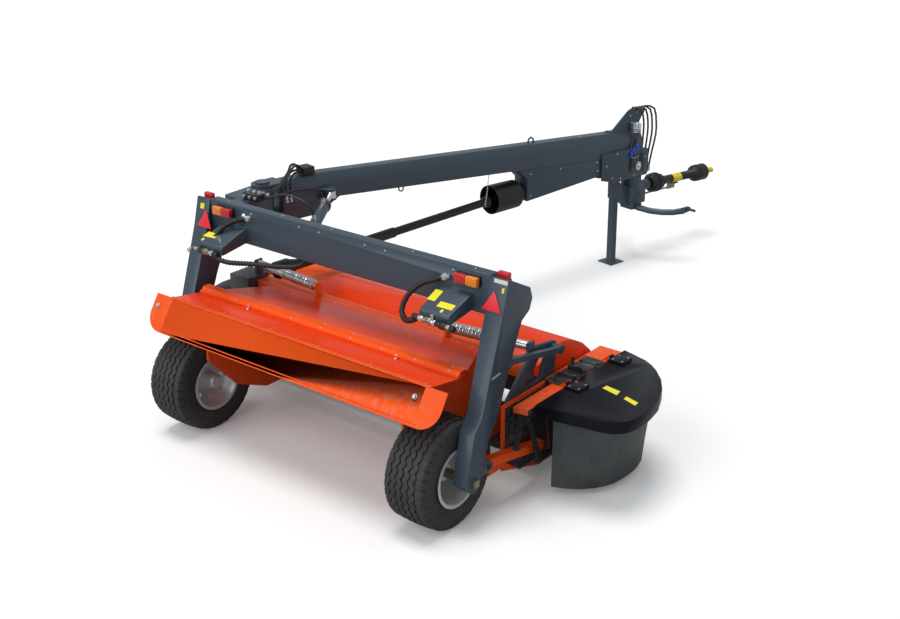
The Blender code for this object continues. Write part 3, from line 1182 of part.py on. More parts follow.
HINGES_RIGHT = (0.620, 1.190)
HINGES_LEFT = (0.800, 1.180)
COVER_RIGHT = ((COVER_HINGE_RIGHT, 0.233), (1.792, 0.268), (2.040, 0.308), (2.115, 0.332), (2.165, 0.372),
               (2.195, 0.425), (2.212, 0.493), (2.216, 0.570), (2.213, 0.660), (2.185, 0.821),
               (2.117, 0.986),
               (2.036, 1.110), (1.934, 1.220), (1.860, 1.280), (1.780, 1.325), (COVER_HINGE_RIGHT, 1.387))
COVER_LEFT = ((COVER_HINGE_LEFT, 0.330), (1.800, 0.350), (1.858, 0.400), (1.880, 0.500), (1.885, 0.860),
              (1.870, 1.130), (1.815, 1.270), (COVER_HINGE_LEFT, 1.340))
SKIRT_RIGHT = ((1.680, 0.290), (1.800, 0.306), (1.920, 0.325), (2.040, 0.350), (2.105, 0.375),
               (2.150, 0.425),
               (2.170, 0.510), (2.172, 0.600), (2.150, 0.760), (2.100, 0.915), (2.035, 1.035),
               (1.950, 1.135),
               (1.850, 1.220), (1.740, 1.285), (1.640, 1.325))
SKIRT_RIGHT_FOOT = ((1.603, 0.394), (1.680, 0.424), (1.750, 0.466), (1.815, 0.520), (1.862, 0.575),
                    (1.898, 0.635),
                    (1.923, 0.700), (1.938, 0.780), (1.944, 0.870), (1.940, 0.960), (1.922, 1.060),
                    (1.890, 1.150),
                    (1.825, 1.220), (1.735, 1.270), (1.640, 1.300))
SKIRT_LEFT = ((1.730, 0.400), (1.800, 0.430), (1.848, 0.520), (1.852, 0.860), (1.838, 1.110),
              (1.800, 1.210),
              (1.720, 1.280))


def make_covers():
    # Name, side, outline of the top, the skirt's line at its top and foot, places of the hinges
    sides = (("right", 1, COVER_RIGHT, SKIRT_RIGHT, SKIRT_RIGHT_FOOT, HINGES_RIGHT),
             ("left", -1, COVER_LEFT, SKIRT_LEFT, SKIRT_LEFT, HINGES_LEFT))
    for name, side, outline, path, foot, places in sides:
        low = COVER_TOP - COVER_LIP
        shell = prism(outline, "Z", low, COVER_TOP)
        middle = (sum(x for x, _ in outline) / len(outline), sum(y for _, y in outline) / len(outline))
        hinge = min(x for x, _ in outline)
        inner = []
        for x, y in outline:
            across = Vector((x - middle[0], y - middle[1]))
            shrink = across.normalized() * 0.012
            inner.append((hinge - 0.05 if x == hinge else x - shrink.x, y - shrink.y))
        shell = cut(shell, prism(inner, "Z", low - 0.1, COVER_TOP - SHEET))
        shell = fuse(shell, *hinge_eyes(hinge, places))
        hem = COVER_TOP - SHEET - SEAT
        rings = [[(x, y, SKIRT_LOW) for x, y in strip(foot, 0.006)],
                 [(x, y, hem) for x, y in strip(path, 0.006)]]
        skirt = loft(rings)
        if side < 0:
            shell, old = mirrored(shell), shell
            bpy.data.objects.remove(old)
            skirt, old = mirrored(skirt), skirt
            bpy.data.objects.remove(old)
        keep("cover_" + name, shell, "cover_" + name, BLACK_COVER)
        keep("skirt_" + name, skirt, "cover_" + name, GREY_CANVAS)


def machine_middle():
    """The middle of the model's box, from its outermost pieces."""
    right = max(x for x, _ in COVER_RIGHT)
    left = -max(x for x, _ in COVER_LEFT)
    rear = WHEEL_Y - TYRE_RADIUS
    tip = Vector((0.030, PTO_END.y, 0))
    front = PIVOT.y + (TO_DRAWBAR @ tip).y
    return (right + left) / 2, (rear + front) / 2


for old in list(bpy.data.objects):
    bpy.data.objects.remove(old)
WORKSHOP = bpy.data.collections.new("workshop")
MACHINE = bpy.data.collections.new("disc_mower_conditioner")
bpy.context.scene.collection.children.link(WORKSHOP)
bpy.context.scene.collection.children.link(MACHINE)
BODIES = {}

SLATE = material("slate_paint", (0.035, 0.045, 0.058), 0.42)
ORANGE = material("orange_paint", (0.87, 0.13, 0.02), 0.35)
RED_ORANGE = material("red_orange_paint", (0.72, 0.06, 0.015), 0.22)
BLACK_COVER = material("black_cover", (0.012, 0.012, 0.013), 0.35)
BLACK_PLASTIC = material("black_plastic", (0.010, 0.010, 0.010), 0.5)
BLACK_STEEL = material("black_steel", (0.03, 0.03, 0.03), 0.5, 0.3)
GREY_CANVAS = material("grey_canvas", (0.11, 0.11, 0.115), 0.75)
GREY_IRON = material("grey_iron", (0.09, 0.095, 0.10), 0.5, 0.4)
RUBBER = material("rubber", (0.020, 0.020, 0.021), 0.8)
SILVER = material("silver_rim", (0.62, 0.63, 0.64), 0.32, 0.8)
ZINC = material("yellow_zinc", (0.62, 0.52, 0.28), 0.35, 0.9)
CHROME = material("chrome", (0.75, 0.75, 0.75), 0.15, 1.0)
YELLOW = material("yellow_guard", (0.85, 0.62, 0.02), 0.45)
LAMP_RED = material("lamp_red", (0.65, 0.02, 0.02), 0.15)

middle_x, middle_y = machine_middle()
body("carrier", None, (-middle_x, -middle_y, 0), own=(0, 0, 0))
body("wheel_right", "carrier", (WHEEL_X, WHEEL_Y, TYRE_RADIUS))
body("wheel_left", "carrier", (-WHEEL_X, WHEEL_Y, TYRE_RADIUS))
body("drawbar", "carrier", PIVOT, own=(0, 0, PIVOT.z), turn=-REST_SWING)
body("swing_barrel", "carrier", SWING_BASE)
body("swing_rod", "swing_barrel", swing_eye_rest())
body("driveline", "drawbar", (0, JOINT_S, JOINT_Z))
body("stand", "drawbar", (0, STAND_S, SLEEVE_LOW))
body("turret", "drawbar", (0, HITCH_S, TURRET_TOP))
body("pto_shaft", "turret", PTO_START)
body("lower_link", "carrier", (0, *LINK_REAR))
body("upper_link", "carrier", (UPPER_X[0], *UPPER_REAR))
body("header", "lower_link", (0, *LINK_FRONT))
body("rotor", "header", (0, ROTOR_Y, ROTOR_Z))
body("cover_right", "header", (COVER_HINGE_RIGHT, 0.80, COVER_TOP + HINGE_RISE))
body("cover_left", "header", (-COVER_HINGE_LEFT, 0.80, COVER_TOP + HINGE_RISE))
for number in range(DISC_COUNT):
    body(f"disc_{number + 1}", "header", (disc_x(number), DISC_Y, DISC_HUB_TOP))

make_top_beam()
make_legs()
make_wheels()
make_lamps()
make_swing_cylinder()
make_drawbar()
make_driveline_box()
make_driveline_bell()
make_driveline_guard()
make_hitch_head()
make_nose_mast()
make_turret()
make_hitch_yoke()
make_pto()
make_stand()
make_links()
make_side_plates()
make_side_linkage()
make_header_tube()
make_springs()
make_a_frame()
make_hood()
make_channel_walls()
make_rear_board()
make_front_hood()
make_front_curtain()
make_crop_ramp()
make_cutterbar()
make_discs()
make_rotor()
make_header_gearbox()
make_covers()
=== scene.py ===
"""The disc mower conditioner as it looks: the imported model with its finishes, tread, lamps, plates and hoses.

Metres. Places are given as in the part's source: in the carrier's frame, with y = 0 at the rear face of the
top beam, or in the drawbar's frame, with x to its right and s forward from its pivot.
"""

import json
from math import atan2, cos, pi, radians, sin

import bmesh
import bpy
from mathutils import Matrix, Vector
from mathutils.geometry import intersect_point_line


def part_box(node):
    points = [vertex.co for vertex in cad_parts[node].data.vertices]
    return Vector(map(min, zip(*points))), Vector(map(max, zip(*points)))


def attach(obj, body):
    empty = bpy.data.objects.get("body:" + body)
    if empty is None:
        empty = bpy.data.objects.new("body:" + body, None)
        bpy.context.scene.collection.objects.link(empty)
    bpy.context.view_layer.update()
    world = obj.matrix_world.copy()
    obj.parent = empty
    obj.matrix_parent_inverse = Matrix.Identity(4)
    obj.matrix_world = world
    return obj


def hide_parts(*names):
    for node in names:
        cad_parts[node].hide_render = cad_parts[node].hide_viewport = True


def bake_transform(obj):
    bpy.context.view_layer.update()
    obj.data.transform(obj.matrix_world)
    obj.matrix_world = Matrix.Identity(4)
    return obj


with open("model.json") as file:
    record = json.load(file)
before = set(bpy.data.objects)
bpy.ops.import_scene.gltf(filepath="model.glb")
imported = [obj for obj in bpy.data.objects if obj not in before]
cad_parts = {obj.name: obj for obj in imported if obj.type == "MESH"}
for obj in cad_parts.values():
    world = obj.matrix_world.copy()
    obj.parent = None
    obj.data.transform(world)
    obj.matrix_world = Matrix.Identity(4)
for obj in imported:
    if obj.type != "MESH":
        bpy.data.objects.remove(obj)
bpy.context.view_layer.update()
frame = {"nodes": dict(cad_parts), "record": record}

BODY_OF = {node: body for body, nodes in frame["record"]["behaviour"]["bodies"].items() for node in nodes}

# Places that the pieces start from
WHEEL_LINE = -0.360            # the wheels' axis, behind the beam's rear face
REST_SWING = radians(11.5)
PIVOT = Vector((-1.430, 0.620, 0.0))
BEAM_TOP = 1.724               # the top beam's upper face
UP = (0, 0, 1)


def box_of(node):
    low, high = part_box(node)
    return Vector(low), Vector(high)


def middle(node):
    low, high = box_of(node)
    return (low + high) / 2


SHIFT = (middle("tyre_right") + middle("tyre_left")) / 2 - Vector((0, WHEEL_LINE, 0))
SHIFT.z = 0


def at(x, y, z):
    """A place in the carrier's frame."""
    return SHIFT + Vector((x, y, z))


def along(x, s, z):
    """A place in the drawbar's frame."""
    turned = Matrix.Rotation(-REST_SWING, 3, "Z") @ Vector((x, s, 0))
    return SHIFT + PIVOT + turned + Vector((0, 0, z))


# Camera and light

CAMERA_AT = (6.039, -6.247, 4.708)
CAMERA_AZIMUTH = radians(38.824)
CAMERA_DOWN = radians(22.441)
CAMERA_ROLL = radians(0.41)
CAMERA_LENS = 51.48
SENSOR = 36.0
FLOOR_GLOW = 0.10


def place_camera():
    data = bpy.data.cameras.new("camera")
    data.lens = CAMERA_LENS
    data.sensor_width = SENSOR
    data.clip_end = 200
    camera = bpy.data.objects.new("camera", data)
    bpy.context.scene.collection.objects.link(camera)
    looking = Matrix.Rotation(CAMERA_AZIMUTH, 4, "Z") @ Matrix.Rotation(pi / 2 - CAMERA_DOWN, 4, "X")
    camera.matrix_world = Matrix.Translation(at(*CAMERA_AT)) @ looking @ Matrix.Rotation(-CAMERA_ROLL, 4,
                                                                                         "Z")
    bpy.context.scene.camera = camera


def sunlight(name, place, energy, angle, colour=(1, 1, 1)):
    """A sun that shines from a place to the ground under the beam, softer as its angle is wider."""
    data = bpy.data.lights.new(name, "SUN")
    data.energy = energy
    data.color = colour
    data.angle = angle
    lamp = bpy.data.objects.new(name, data)
    bpy.context.scene.collection.objects.link(lamp)
    lamp.location = place
    lamp.rotation_euler = (at(0, 0, 0) - place).to_track_quat("-Z", "Y").to_euler()


def light_the_room():
    world = bpy.data.worlds.new("white_room")
    bpy.context.scene.world = world
    world.use_nodes = True
    tree = world.node_tree
    tree.nodes.clear()
    out = tree.nodes.new("ShaderNodeOutputWorld")
    mix = tree.nodes.new("ShaderNodeMixShader")
    path = tree.nodes.new("ShaderNodeLightPath")
    seen = tree.nodes.new("ShaderNodeMath")
    seen.operation = "MAXIMUM"
    fill = tree.nodes.new("ShaderNodeBackground")
    white = tree.nodes.new("ShaderNodeBackground")
    fill.inputs["Color"].default_value = (0.90, 0.955, 1.0, 1)
    fill.inputs["Strength"].default_value = 0.48
    white.inputs["Color"].default_value = (1, 1, 1, 1)
    white.inputs["Strength"].default_value = 1.0
    tree.links.new(path.outputs["Is Camera Ray"], seen.inputs[0])
    tree.links.new(path.outputs["Is Transmission Ray"], seen.inputs[1])
    tree.links.new(seen.outputs[0], mix.inputs[0])
    tree.links.new(fill.outputs[0], mix.inputs[1])
    tree.links.new(white.outputs[0], mix.inputs[2])
    tree.links.new(mix.outputs[0], out.inputs[0])
    # One sun stands high over the machine, and a wide soft one to the left of the camera
    sunlight("sun", at(-0.5, -0.8, 8.0), 1.45, radians(26), (1.0, 0.97, 0.93))
    sunlight("soft_key", at(-2.0, -8.5, 5.5), 1.10, radians(50))


def lay_the_floor():
    bpy.ops.mesh.primitive_plane_add(size=160, location=(0, 0, -0.001))
    floor = bpy.context.active_object
    floor.name = "floor"
    surface = bpy.data.materials.new("pale_floor")
    surface.use_nodes = True
    tree = surface.node_tree
    shader = tree.nodes["Principled BSDF"]
    shader.inputs["Roughness"].default_value = 1.0
    shader.inputs["Specular IOR Level"].default_value = 0.0
    # The camera sees a white floor, which throws less light back at the machine
    glow = tree.nodes.new("ShaderNodeEmission")
    path = tree.nodes.new("ShaderNodeLightPath")
    both = tree.nodes.new("ShaderNodeAddShader")
    pale = maths(tree, "ADD", maths(tree, "MULTIPLY", path.outputs["Is Camera Ray"], 0.50), 0.42)
    tree.links.new(pale, shader.inputs["Base Color"])
    tree.links.new(maths(tree, "MULTIPLY", path.outputs["Is Camera Ray"], FLOOR_GLOW),
                   glow.inputs["Strength"])
    tree.links.new(shader.outputs[0], both.inputs[0])
    tree.links.new(glow.outputs[0], both.inputs[1])
    tree.links.new(both.outputs[0], tree.nodes["Material Output"].inputs["Surface"])
    floor.data.materials.append(surface)


# Shader groups

def new_group(name, inputs, outputs):
    """A shader group with its sockets: inputs are (name, kind, value), outputs are (name, kind)."""
    tree = bpy.data.node_groups.new(name, "ShaderNodeTree")
    kinds = {"value": "NodeSocketFloat", "colour": "NodeSocketColor", "vector": "NodeSocketVector"}
    for label, kind, value in inputs:
        socket = tree.interface.new_socket(name=label, in_out="INPUT", socket_type=kinds[kind])
        socket.default_value = value
    for label, kind in outputs:
        tree.interface.new_socket(name=label, in_out="OUTPUT", socket_type=kinds[kind])
    return tree, tree.nodes.new("NodeGroupInput"), tree.nodes.new("NodeGroupOutput")


def feed(tree, value, socket):
    """Links a node's output to a socket, or sets the socket to a number or a colour."""
    if isinstance(value, bpy.types.NodeSocket):
        tree.links.new(value, socket)
    else:
        socket.default_value = value


def noise(tree, place, scale, detail, rough=0.5):
    node = tree.nodes.new("ShaderNodeTexNoise")
    node.inputs["Detail"].default_value = detail
    node.inputs["Roughness"].default_value = rough
    tree.links.new(place, node.inputs["Vector"])
    feed(tree, scale, node.inputs["Scale"])
    return node.outputs["Fac"]


def spread(tree, value, low, high, to_low=0.0, to_high=1.0):
    node = tree.nodes.new("ShaderNodeMapRange")
    tree.links.new(value, node.inputs["Value"])
    for label, number in (("From Min", low), ("From Max", high), ("To Min", to_low), ("To Max", to_high)):
        node.inputs[label].default_value = number
    return node.outputs["Result"]


def maths(tree, operation, first, second):
    node = tree.nodes.new("ShaderNodeMath")
    node.operation = operation
    feed(tree, first, node.inputs[0])
    feed(tree, second, node.inputs[1])
    return node.outputs[0]


def blend_colour(tree, mask, first, second):
    node = tree.nodes.new("ShaderNodeMix")
    node.data_type = "RGBA"
    for index, value in ((0, mask), (6, first), (7, second)):
        feed(tree, value, node.inputs[index])
    return node.outputs[2]


def make_dust_group():
    """Dust and dried mud that thickens towards the ground, with clouds of dulled gloss."""
    tree, given, out = new_group("dust_and_dulling", [
        ("Paint", "colour", (0.5, 0.5, 0.5, 1)), ("Dust", "colour", (0.32, 0.28, 0.22, 1)),
        ("Amount", "value", 0.1), ("Roughness", "value", 0.4), ("Cloud", "value", 0.06)],
        [("Colour", "colour"), ("Roughness", "value")])
    place = tree.nodes.new("ShaderNodeTexCoord").outputs["Object"]
    axes = tree.nodes.new("ShaderNodeSeparateXYZ")
    tree.links.new(place, axes.inputs[0])
    low = spread(tree, axes.outputs["Z"], 1.0, 0.0, 0.15, 1.0)
    broad = noise(tree, place, 2.2, 5, 0.6)
    fine = noise(tree, place, 55.0, 3, 0.7)
    patches = spread(tree, maths(tree, "MULTIPLY", broad, fine), 0.14, 0.38)
    mask = maths(tree, "MULTIPLY", maths(tree, "MULTIPLY", patches, low), given.outputs["Amount"])
    shade = blend_colour(tree, maths(tree, "MULTIPLY", broad, given.outputs["Cloud"]),
                         given.outputs["Paint"],
                         (0.0, 0.0, 0.0, 1))
    tree.links.new(blend_colour(tree, mask, shade, given.outputs["Dust"]), out.inputs["Colour"])
    dull = spread(tree, broad, 0.3, 0.7, -0.06, 0.10)
    rough = maths(tree, "ADD", maths(tree, "ADD", given.outputs["Roughness"], dull),
                   maths(tree, "MULTIPLY", mask, 0.5))
    tree.links.new(rough, out.inputs["Roughness"])
    return tree


def make_grain_group():
    """Fine relief of paint, castings, rubber or moulded plastic."""
    tree, given, out = new_group("fine_grain", [("Scale", "value", 200.0)], [("Height", "value")])
    place = tree.nodes.new("ShaderNodeTexCoord").outputs["Object"]
    tree.links.new(noise(tree, place, given.outputs["Scale"], 3, 0.6), out.inputs["Height"])
    return tree


def make_edge_group():
    """Where a convex edge has worn: thin, broken lines along it."""
    tree, given, out = new_group("worn_edges", [
        ("Colour", "colour", (0.5, 0.5, 0.5, 1)), ("Bare", "colour", (0.4, 0.4, 0.42, 1)),
        ("Amount", "value", 0.3)],
        [("Colour", "colour")])
    place = tree.nodes.new("ShaderNodeTexCoord").outputs["Object"]
    sharp = tree.nodes.new("ShaderNodeNewGeometry").outputs["Pointiness"]
    line = spread(tree, sharp, 0.56, 0.66)
    broken = spread(tree, noise(tree, place, 24.0, 4, 0.7), 0.48, 0.62)
    mask = maths(tree, "MULTIPLY", maths(tree, "MULTIPLY", line, broken), given.outputs["Amount"])
    tree.links.new(blend_colour(tree, mask, given.outputs["Colour"], given.outputs["Bare"]),
                   out.inputs["Colour"])
    return tree


def make_weave_group():
    """The crossing yarns of coated cloth, with soft creases, and Shade: painted shade that is low in the
    creases' hollows.
    """
    tree, given, out = new_group("coated_weave", [("Scale", "value", 260.0)],
                                 [("Height", "value"), ("Shade", "value")])
    place = tree.nodes.new("ShaderNodeTexCoord").outputs["Object"]
    heights = []
    for direction in ("X", "Z"):
        yarn = tree.nodes.new("ShaderNodeTexWave")
        yarn.bands_direction = direction
        tree.links.new(place, yarn.inputs["Vector"])
        tree.links.new(given.outputs["Scale"], yarn.inputs["Scale"])
        heights.append(yarn.outputs["Fac"])
    yarns = maths(tree, "MAXIMUM", *heights)
    creases = noise(tree, place, 4.5, 3, 0.55)
    tree.links.new(maths(tree, "ADD", maths(tree, "MULTIPLY", yarns, 0.15), creases), out.inputs["Height"])
    # Painted shade: Shade is low where the crease noise is low, in the hollows of the relief above
    tree.links.new(spread(tree, creases, 0.3, 0.7), out.inputs["Shade"])
    return tree


DUST = make_dust_group()
GRAIN = make_grain_group()
EDGES = make_edge_group()
WEAVE = make_weave_group()

ROAD_DUST = (0.30, 0.265, 0.21, 1)


def use_group(tree, group, **values):
    node = tree.nodes.new("ShaderNodeGroup")
    node.node_tree = group
    for label, value in values.items():
        feed(tree, value, node.inputs[label])
    return node


def add_relief(tree, shader, height, depth, distance):
    bump = tree.nodes.new("ShaderNodeBump")
    bump.inputs["Strength"].default_value = depth
    bump.inputs["Distance"].default_value = distance
    tree.links.new(height, bump.inputs["Height"])
    tree.links.new(bump.outputs["Normal"], shader.inputs["Normal"])


def finish_of(name, colour, rough, metal=0.0, dust=0.2, grain=220.0, depth=0.02, wear=0.0, coat=0.0,
              bare=(0.32, 0.33, 0.34), cloud=0.08, specular=0.5):
    """A finish: its colour with dust, its relief and, on paint, worn edges."""
    made = bpy.data.materials.new(name)
    made.use_nodes = True
    tree = made.node_tree
    shader = tree.nodes["Principled BSDF"]
    film = use_group(tree, DUST, Paint=(*colour, 1), Dust=ROAD_DUST, Amount=dust, Roughness=rough,
                     Cloud=cloud)
    shown = film.outputs["Colour"]
    if wear:
        worn = use_group(tree, EDGES, Colour=shown, Bare=(*bare, 1), Amount=wear)
        shown = worn.outputs["Colour"]
    tree.links.new(shown, shader.inputs["Base Color"])
    tree.links.new(film.outputs["Roughness"], shader.inputs["Roughness"])
    shader.inputs["Metallic"].default_value = metal
    shader.inputs["Coat Weight"].default_value = coat
    shader.inputs["Coat Roughness"].default_value = 0.08
    shader.inputs["Specular IOR Level"].default_value = specular
    relief = use_group(tree, GRAIN, Scale=grain)
    add_relief(tree, shader, relief.outputs["Height"], depth, 0.01)
    return made


def cloth_of(name, colour, rough, scale, depth):
    made = bpy.data.materials.new(name)
    made.use_nodes = True
    tree = made.node_tree
    shader = tree.nodes["Principled BSDF"]
    weave = use_group(tree, WEAVE, Scale=scale)
    # Painted shade: the cloth's colour darkens to 0.78 in the creases' hollows, where the weave's Shade is low
    tint = blend_colour(tree, weave.outputs["Shade"], tuple(c * 0.78 for c in colour) + (1,), (*colour, 1))
    film = use_group(tree, DUST, Paint=tint, Dust=ROAD_DUST, Amount=0.35, Roughness=rough, Cloud=0.1)
    tree.links.new(film.outputs["Colour"], shader.inputs["Base Color"])
    tree.links.new(film.outputs["Roughness"], shader.inputs["Roughness"])
    add_relief(tree, shader, weave.outputs["Height"], depth, 0.012)
    return made


SLATE = finish_of("slate_paint", (0.036, 0.061, 0.089), 0.38, dust=0.06, grain=320, depth=0.012, wear=0.25,
                  coat=0.15)
ORANGE = finish_of("orange_paint", (0.93, 0.100, 0.009), 0.36, dust=0.04, grain=300, depth=0.010, wear=0.25,
                   coat=0.03, bare=(0.45, 0.42, 0.40), cloud=0.06, specular=0.16)
# Painted shade and painted reflection: the hood's paint is the board's orange, made darker and redder for the
# hood lying in shade and mirroring the dark beam in its gloss
SHADED_HOOD_ORANGE = finish_of("red_orange_paint", (0.90, 0.055, 0.006), 0.26, dust=0.02, grain=260, depth=0.008,
                       wear=0.2,
                       coat=0.05, bare=(0.45, 0.42, 0.40), cloud=0.08, specular=0.16)
COVER = finish_of("black_cover", (0.0045, 0.0055, 0.010), 0.22, dust=0.01, grain=700, depth=0.02,
                  specular=0.18)
PLASTIC = finish_of("black_plastic", (0.010, 0.010, 0.011), 0.40, dust=0.06, grain=600, depth=0.05)
BLACK_STEEL = finish_of("black_steel", (0.020, 0.021, 0.023), 0.40, 0.2, dust=0.10, grain=200, depth=0.03,
                        wear=0.4)
IRON = finish_of("grey_iron", (0.070, 0.075, 0.080), 0.48, 0.3, dust=0.25, grain=150, depth=0.08, wear=0.6,
                 bare=(0.45, 0.44, 0.43))
RUBBER = finish_of("rubber", (0.024, 0.025, 0.027), 0.66, dust=0.22, grain=420, depth=0.10)
SILVER = finish_of("silver_rim", (0.70, 0.71, 0.73), 0.30, 0.45, dust=0.08, grain=260, depth=0.02)
ZINC = finish_of("yellow_zinc", (0.50, 0.46, 0.28), 0.34, 0.85, dust=0.10, grain=90, depth=0.05, cloud=0.5)
BRIGHT = finish_of("bright_zinc", (0.78, 0.80, 0.82), 0.26, 0.85, dust=0.05, grain=120, depth=0.03,
                   cloud=0.3)
CHROME = finish_of("chrome", (0.80, 0.81, 0.82), 0.10, 1.0, dust=0.02, grain=40, depth=0.005)
YELLOW = finish_of("yellow_guard", (0.86, 0.66, 0.02), 0.42, dust=0.05, grain=500, depth=0.03)
LABEL = finish_of("blank_yellow_label", (0.95, 0.83, 0.02), 0.32, dust=0.02, grain=900, depth=0.01,
                  coat=0.2)
PALE_LABEL = finish_of("blank_pale_label", (0.42, 0.44, 0.45), 0.35, dust=0.02, grain=900, depth=0.01)
HOSE = finish_of("hose_rubber", (0.012, 0.012, 0.013), 0.42, dust=0.06, grain=500, depth=0.04)
WORN_HOSE = finish_of("brown_hose", (0.060, 0.055, 0.048), 0.50, dust=0.15, grain=500, depth=0.05)
BLUE = finish_of("blue_coupler", (0.02, 0.07, 0.55), 0.30, dust=0.02, grain=400, depth=0.02, coat=0.3)
RED_LENS = finish_of("lamp_red", (0.62, 0.006, 0.010), 0.14, dust=0.02, grain=60, depth=0.01, coat=0.6)
AMBER_LENS = finish_of("lamp_amber", (0.92, 0.25, 0.01), 0.14, dust=0.02, grain=60, depth=0.01, coat=0.6)
REFLECTOR = finish_of("red_reflector", (0.85, 0.015, 0.03), 0.24, dust=0.02, grain=800, depth=0.10,
                      coat=0.4)
WHITE_REFLECTOR = finish_of("pale_reflector", (0.72, 0.72, 0.62), 0.25, dust=0.03, grain=800, depth=0.08,
                            coat=0.4)
CANVAS = cloth_of("grey_canvas", (0.050, 0.066, 0.078), 0.42, 420.0, 0.07)


# Modelling tools

def pick(*objects):
    bpy.ops.object.select_all(action="DESELECT")
    for made in objects:
        made.select_set(True)
    bpy.context.view_layer.objects.active = objects[0]


def apply_all(made):
    pick(made)
    bpy.ops.object.transform_apply(location=True, rotation=True, scale=True)
    for modifier in list(made.modifiers):
        bpy.ops.object.modifier_apply(modifier=modifier.name)
    return made


def join(*objects):
    pick(*objects)
    if len(objects) > 1:
        bpy.ops.object.join()
    return bpy.context.active_object


def smooth(made, angle=35):
    pick(made)
    bpy.ops.object.shade_smooth_by_angle(angle=radians(angle))
    return made


def bevel(made, width, segments=2, angle=40):
    modifier = made.modifiers.new("bevel", "BEVEL")
    modifier.width = width
    modifier.segments = segments
    modifier.limit_method = "ANGLE"
    modifier.angle_limit = radians(angle)
    return apply_all(made)


def face_outwards(made):
    pick(made)
    bpy.ops.object.mode_set(mode="EDIT")
    bpy.ops.mesh.select_all(action="SELECT")
    bpy.ops.mesh.normals_make_consistent(inside=False)
    bpy.ops.object.mode_set(mode="OBJECT")


def settle(made, name, finish, body, angle=35):
    """The last steps of every piece: its place in its mesh, its name, finish, body and slot.

    A piece that runs between two bodies is given no body here.
    """
    apply_all(made)
    smooth(made, angle)
    made.name = name
    made.data.name = name
    made.data.materials.clear()
    made.data.materials.append(finish)
    if body:
        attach(made, body)
    return made


def slab(low, high, round_by=0.002):
    low, high = Vector(low), Vector(high)
    bpy.ops.mesh.primitive_cube_add(size=1, location=(low + high) / 2)
    made = bpy.context.active_object
    made.scale = [abs(v) for v in high - low]
    return bevel(apply_all(made), round_by) if round_by else apply_all(made)


def barrel(start, end, radius, sides=16, round_by=0.0):
    """A round bar between two places, or a prism if it has few sides."""
    start, end = Vector(start), Vector(end)
    way = end - start
    bpy.ops.mesh.primitive_cone_add(vertices=sides, radius1=radius, radius2=radius, depth=way.length,
                                    location=(start + end) / 2)
    made = bpy.context.active_object
    made.rotation_euler = way.to_track_quat("Z", "Y").to_euler()
    apply_all(made)
    return bevel(made, round_by, 2, 50) if round_by else made


def thread(data, points):
    """A smooth line through the points, in a curve."""
    spline = data.splines.new("BEZIER")
    spline.bezier_points.add(len(points) - 1)
    for knot, point in zip(spline.bezier_points, points):
        knot.co = point
        knot.handle_left_type = knot.handle_right_type = "AUTO"
    return spline


def mesh_of(data):
    made = bpy.data.objects.new("route", data)
    bpy.context.scene.collection.objects.link(made)
    pick(made)
    bpy.ops.object.convert(target="MESH")
    return bpy.context.active_object


def route(points, radius, res=3, closed=False, soft=True):
    """A tube through the points, on a smooth line or, when it isn't soft, straight from each to the next."""
    data = bpy.data.curves.new("route", "CURVE")
    data.dimensions = "3D"
    data.bevel_depth = radius
    data.bevel_resolution = res
    data.use_fill_caps = not closed
    data.resolution_u = 6
    if soft:
        spline = thread(data, points)
    else:
        spline = data.splines.new("POLY")
        spline.points.add(len(points) - 1)
        for knot, point in zip(spline.points, points):
            knot.co = (*point, 1)
    spline.use_cyclic_u = closed
    return mesh_of(data)


def fine_line(points, step):
    """Even points along the same smooth line that route() draws."""
    data = bpy.data.curves.new("line", "CURVE")
    data.dimensions = "3D"
    data.resolution_u = 24
    thread(data, points)
    made = mesh_of(data)
    raw = [v.co.copy() for v in made.data.vertices]
    bpy.data.objects.remove(made)
    lengths = [0.0]
    for a, b in zip(raw, raw[1:]):
        lengths.append(lengths[-1] + (b - a).length)
    count = max(2, round(lengths[-1] / step))
    even = []
    j = 0
    for i in range(count + 1):
        want = lengths[-1] * i / count
        while j < len(raw) - 2 and lengths[j + 1] < want:
            j += 1
        share = (want - lengths[j]) / max(lengths[j + 1] - lengths[j], 1e-9)
        even.append(raw[j].lerp(raw[j + 1], share))
    return even


def softened(points, parts=10):
    """More points on a smooth line through the given ones, as in the part's source."""
    points = [Vector(point) for point in points]
    ends = [2 * points[0] - points[1], *points, 2 * points[-1] - points[-2]]
    line = []
    for i in range(len(points) - 1):
        a, b, c, d = ends[i:i + 4]
        for k in range(parts):
            t = k / parts
            line.append(b + ((c - a) * t + (2 * a - 5 * b + 4 * c - d) * t * t
                             + (3 * b - a - 3 * c + d) * t ** 3) / 2)
    return [*line, points[-1]]


def wrapping(points, radius, wire, pitch, per_turn=10):
    """A spiral guard wound on a line."""
    line = fine_line(points, pitch / per_turn)
    side = Vector((0, 0, 1))
    turns = []
    for i, point in enumerate(line):
        ahead = (line[min(i + 1, len(line) - 1)] - line[max(i - 1, 0)]).normalized()
        side = (side - ahead * side.dot(ahead)).normalized()
        other = ahead.cross(side)
        angle = 2 * pi * i / per_turn
        turns.append(point + (side * cos(angle) + other * sin(angle)) * radius)
    return route(turns, wire, 1, soft=False)


def copies(source, matrices):
    """One model copied to many places and joined."""
    made = []
    for matrix in matrices:
        other = source.copy()
        other.data = source.data.copy()
        other.data.transform(matrix)
        bpy.context.scene.collection.objects.link(other)
        made.append(other)
    bpy.data.objects.remove(source)
    return join(*made)


def to_place(place, out, turn=0.0):
    """The matrix that puts a model, which stands on the ground plane, at a place with its top facing out."""
    return (Matrix.Translation(Vector(place)) @ Vector(out).to_track_quat("Z", "Y").to_matrix().to_4x4()
            @ Matrix.Rotation(turn, 4, "Z"))


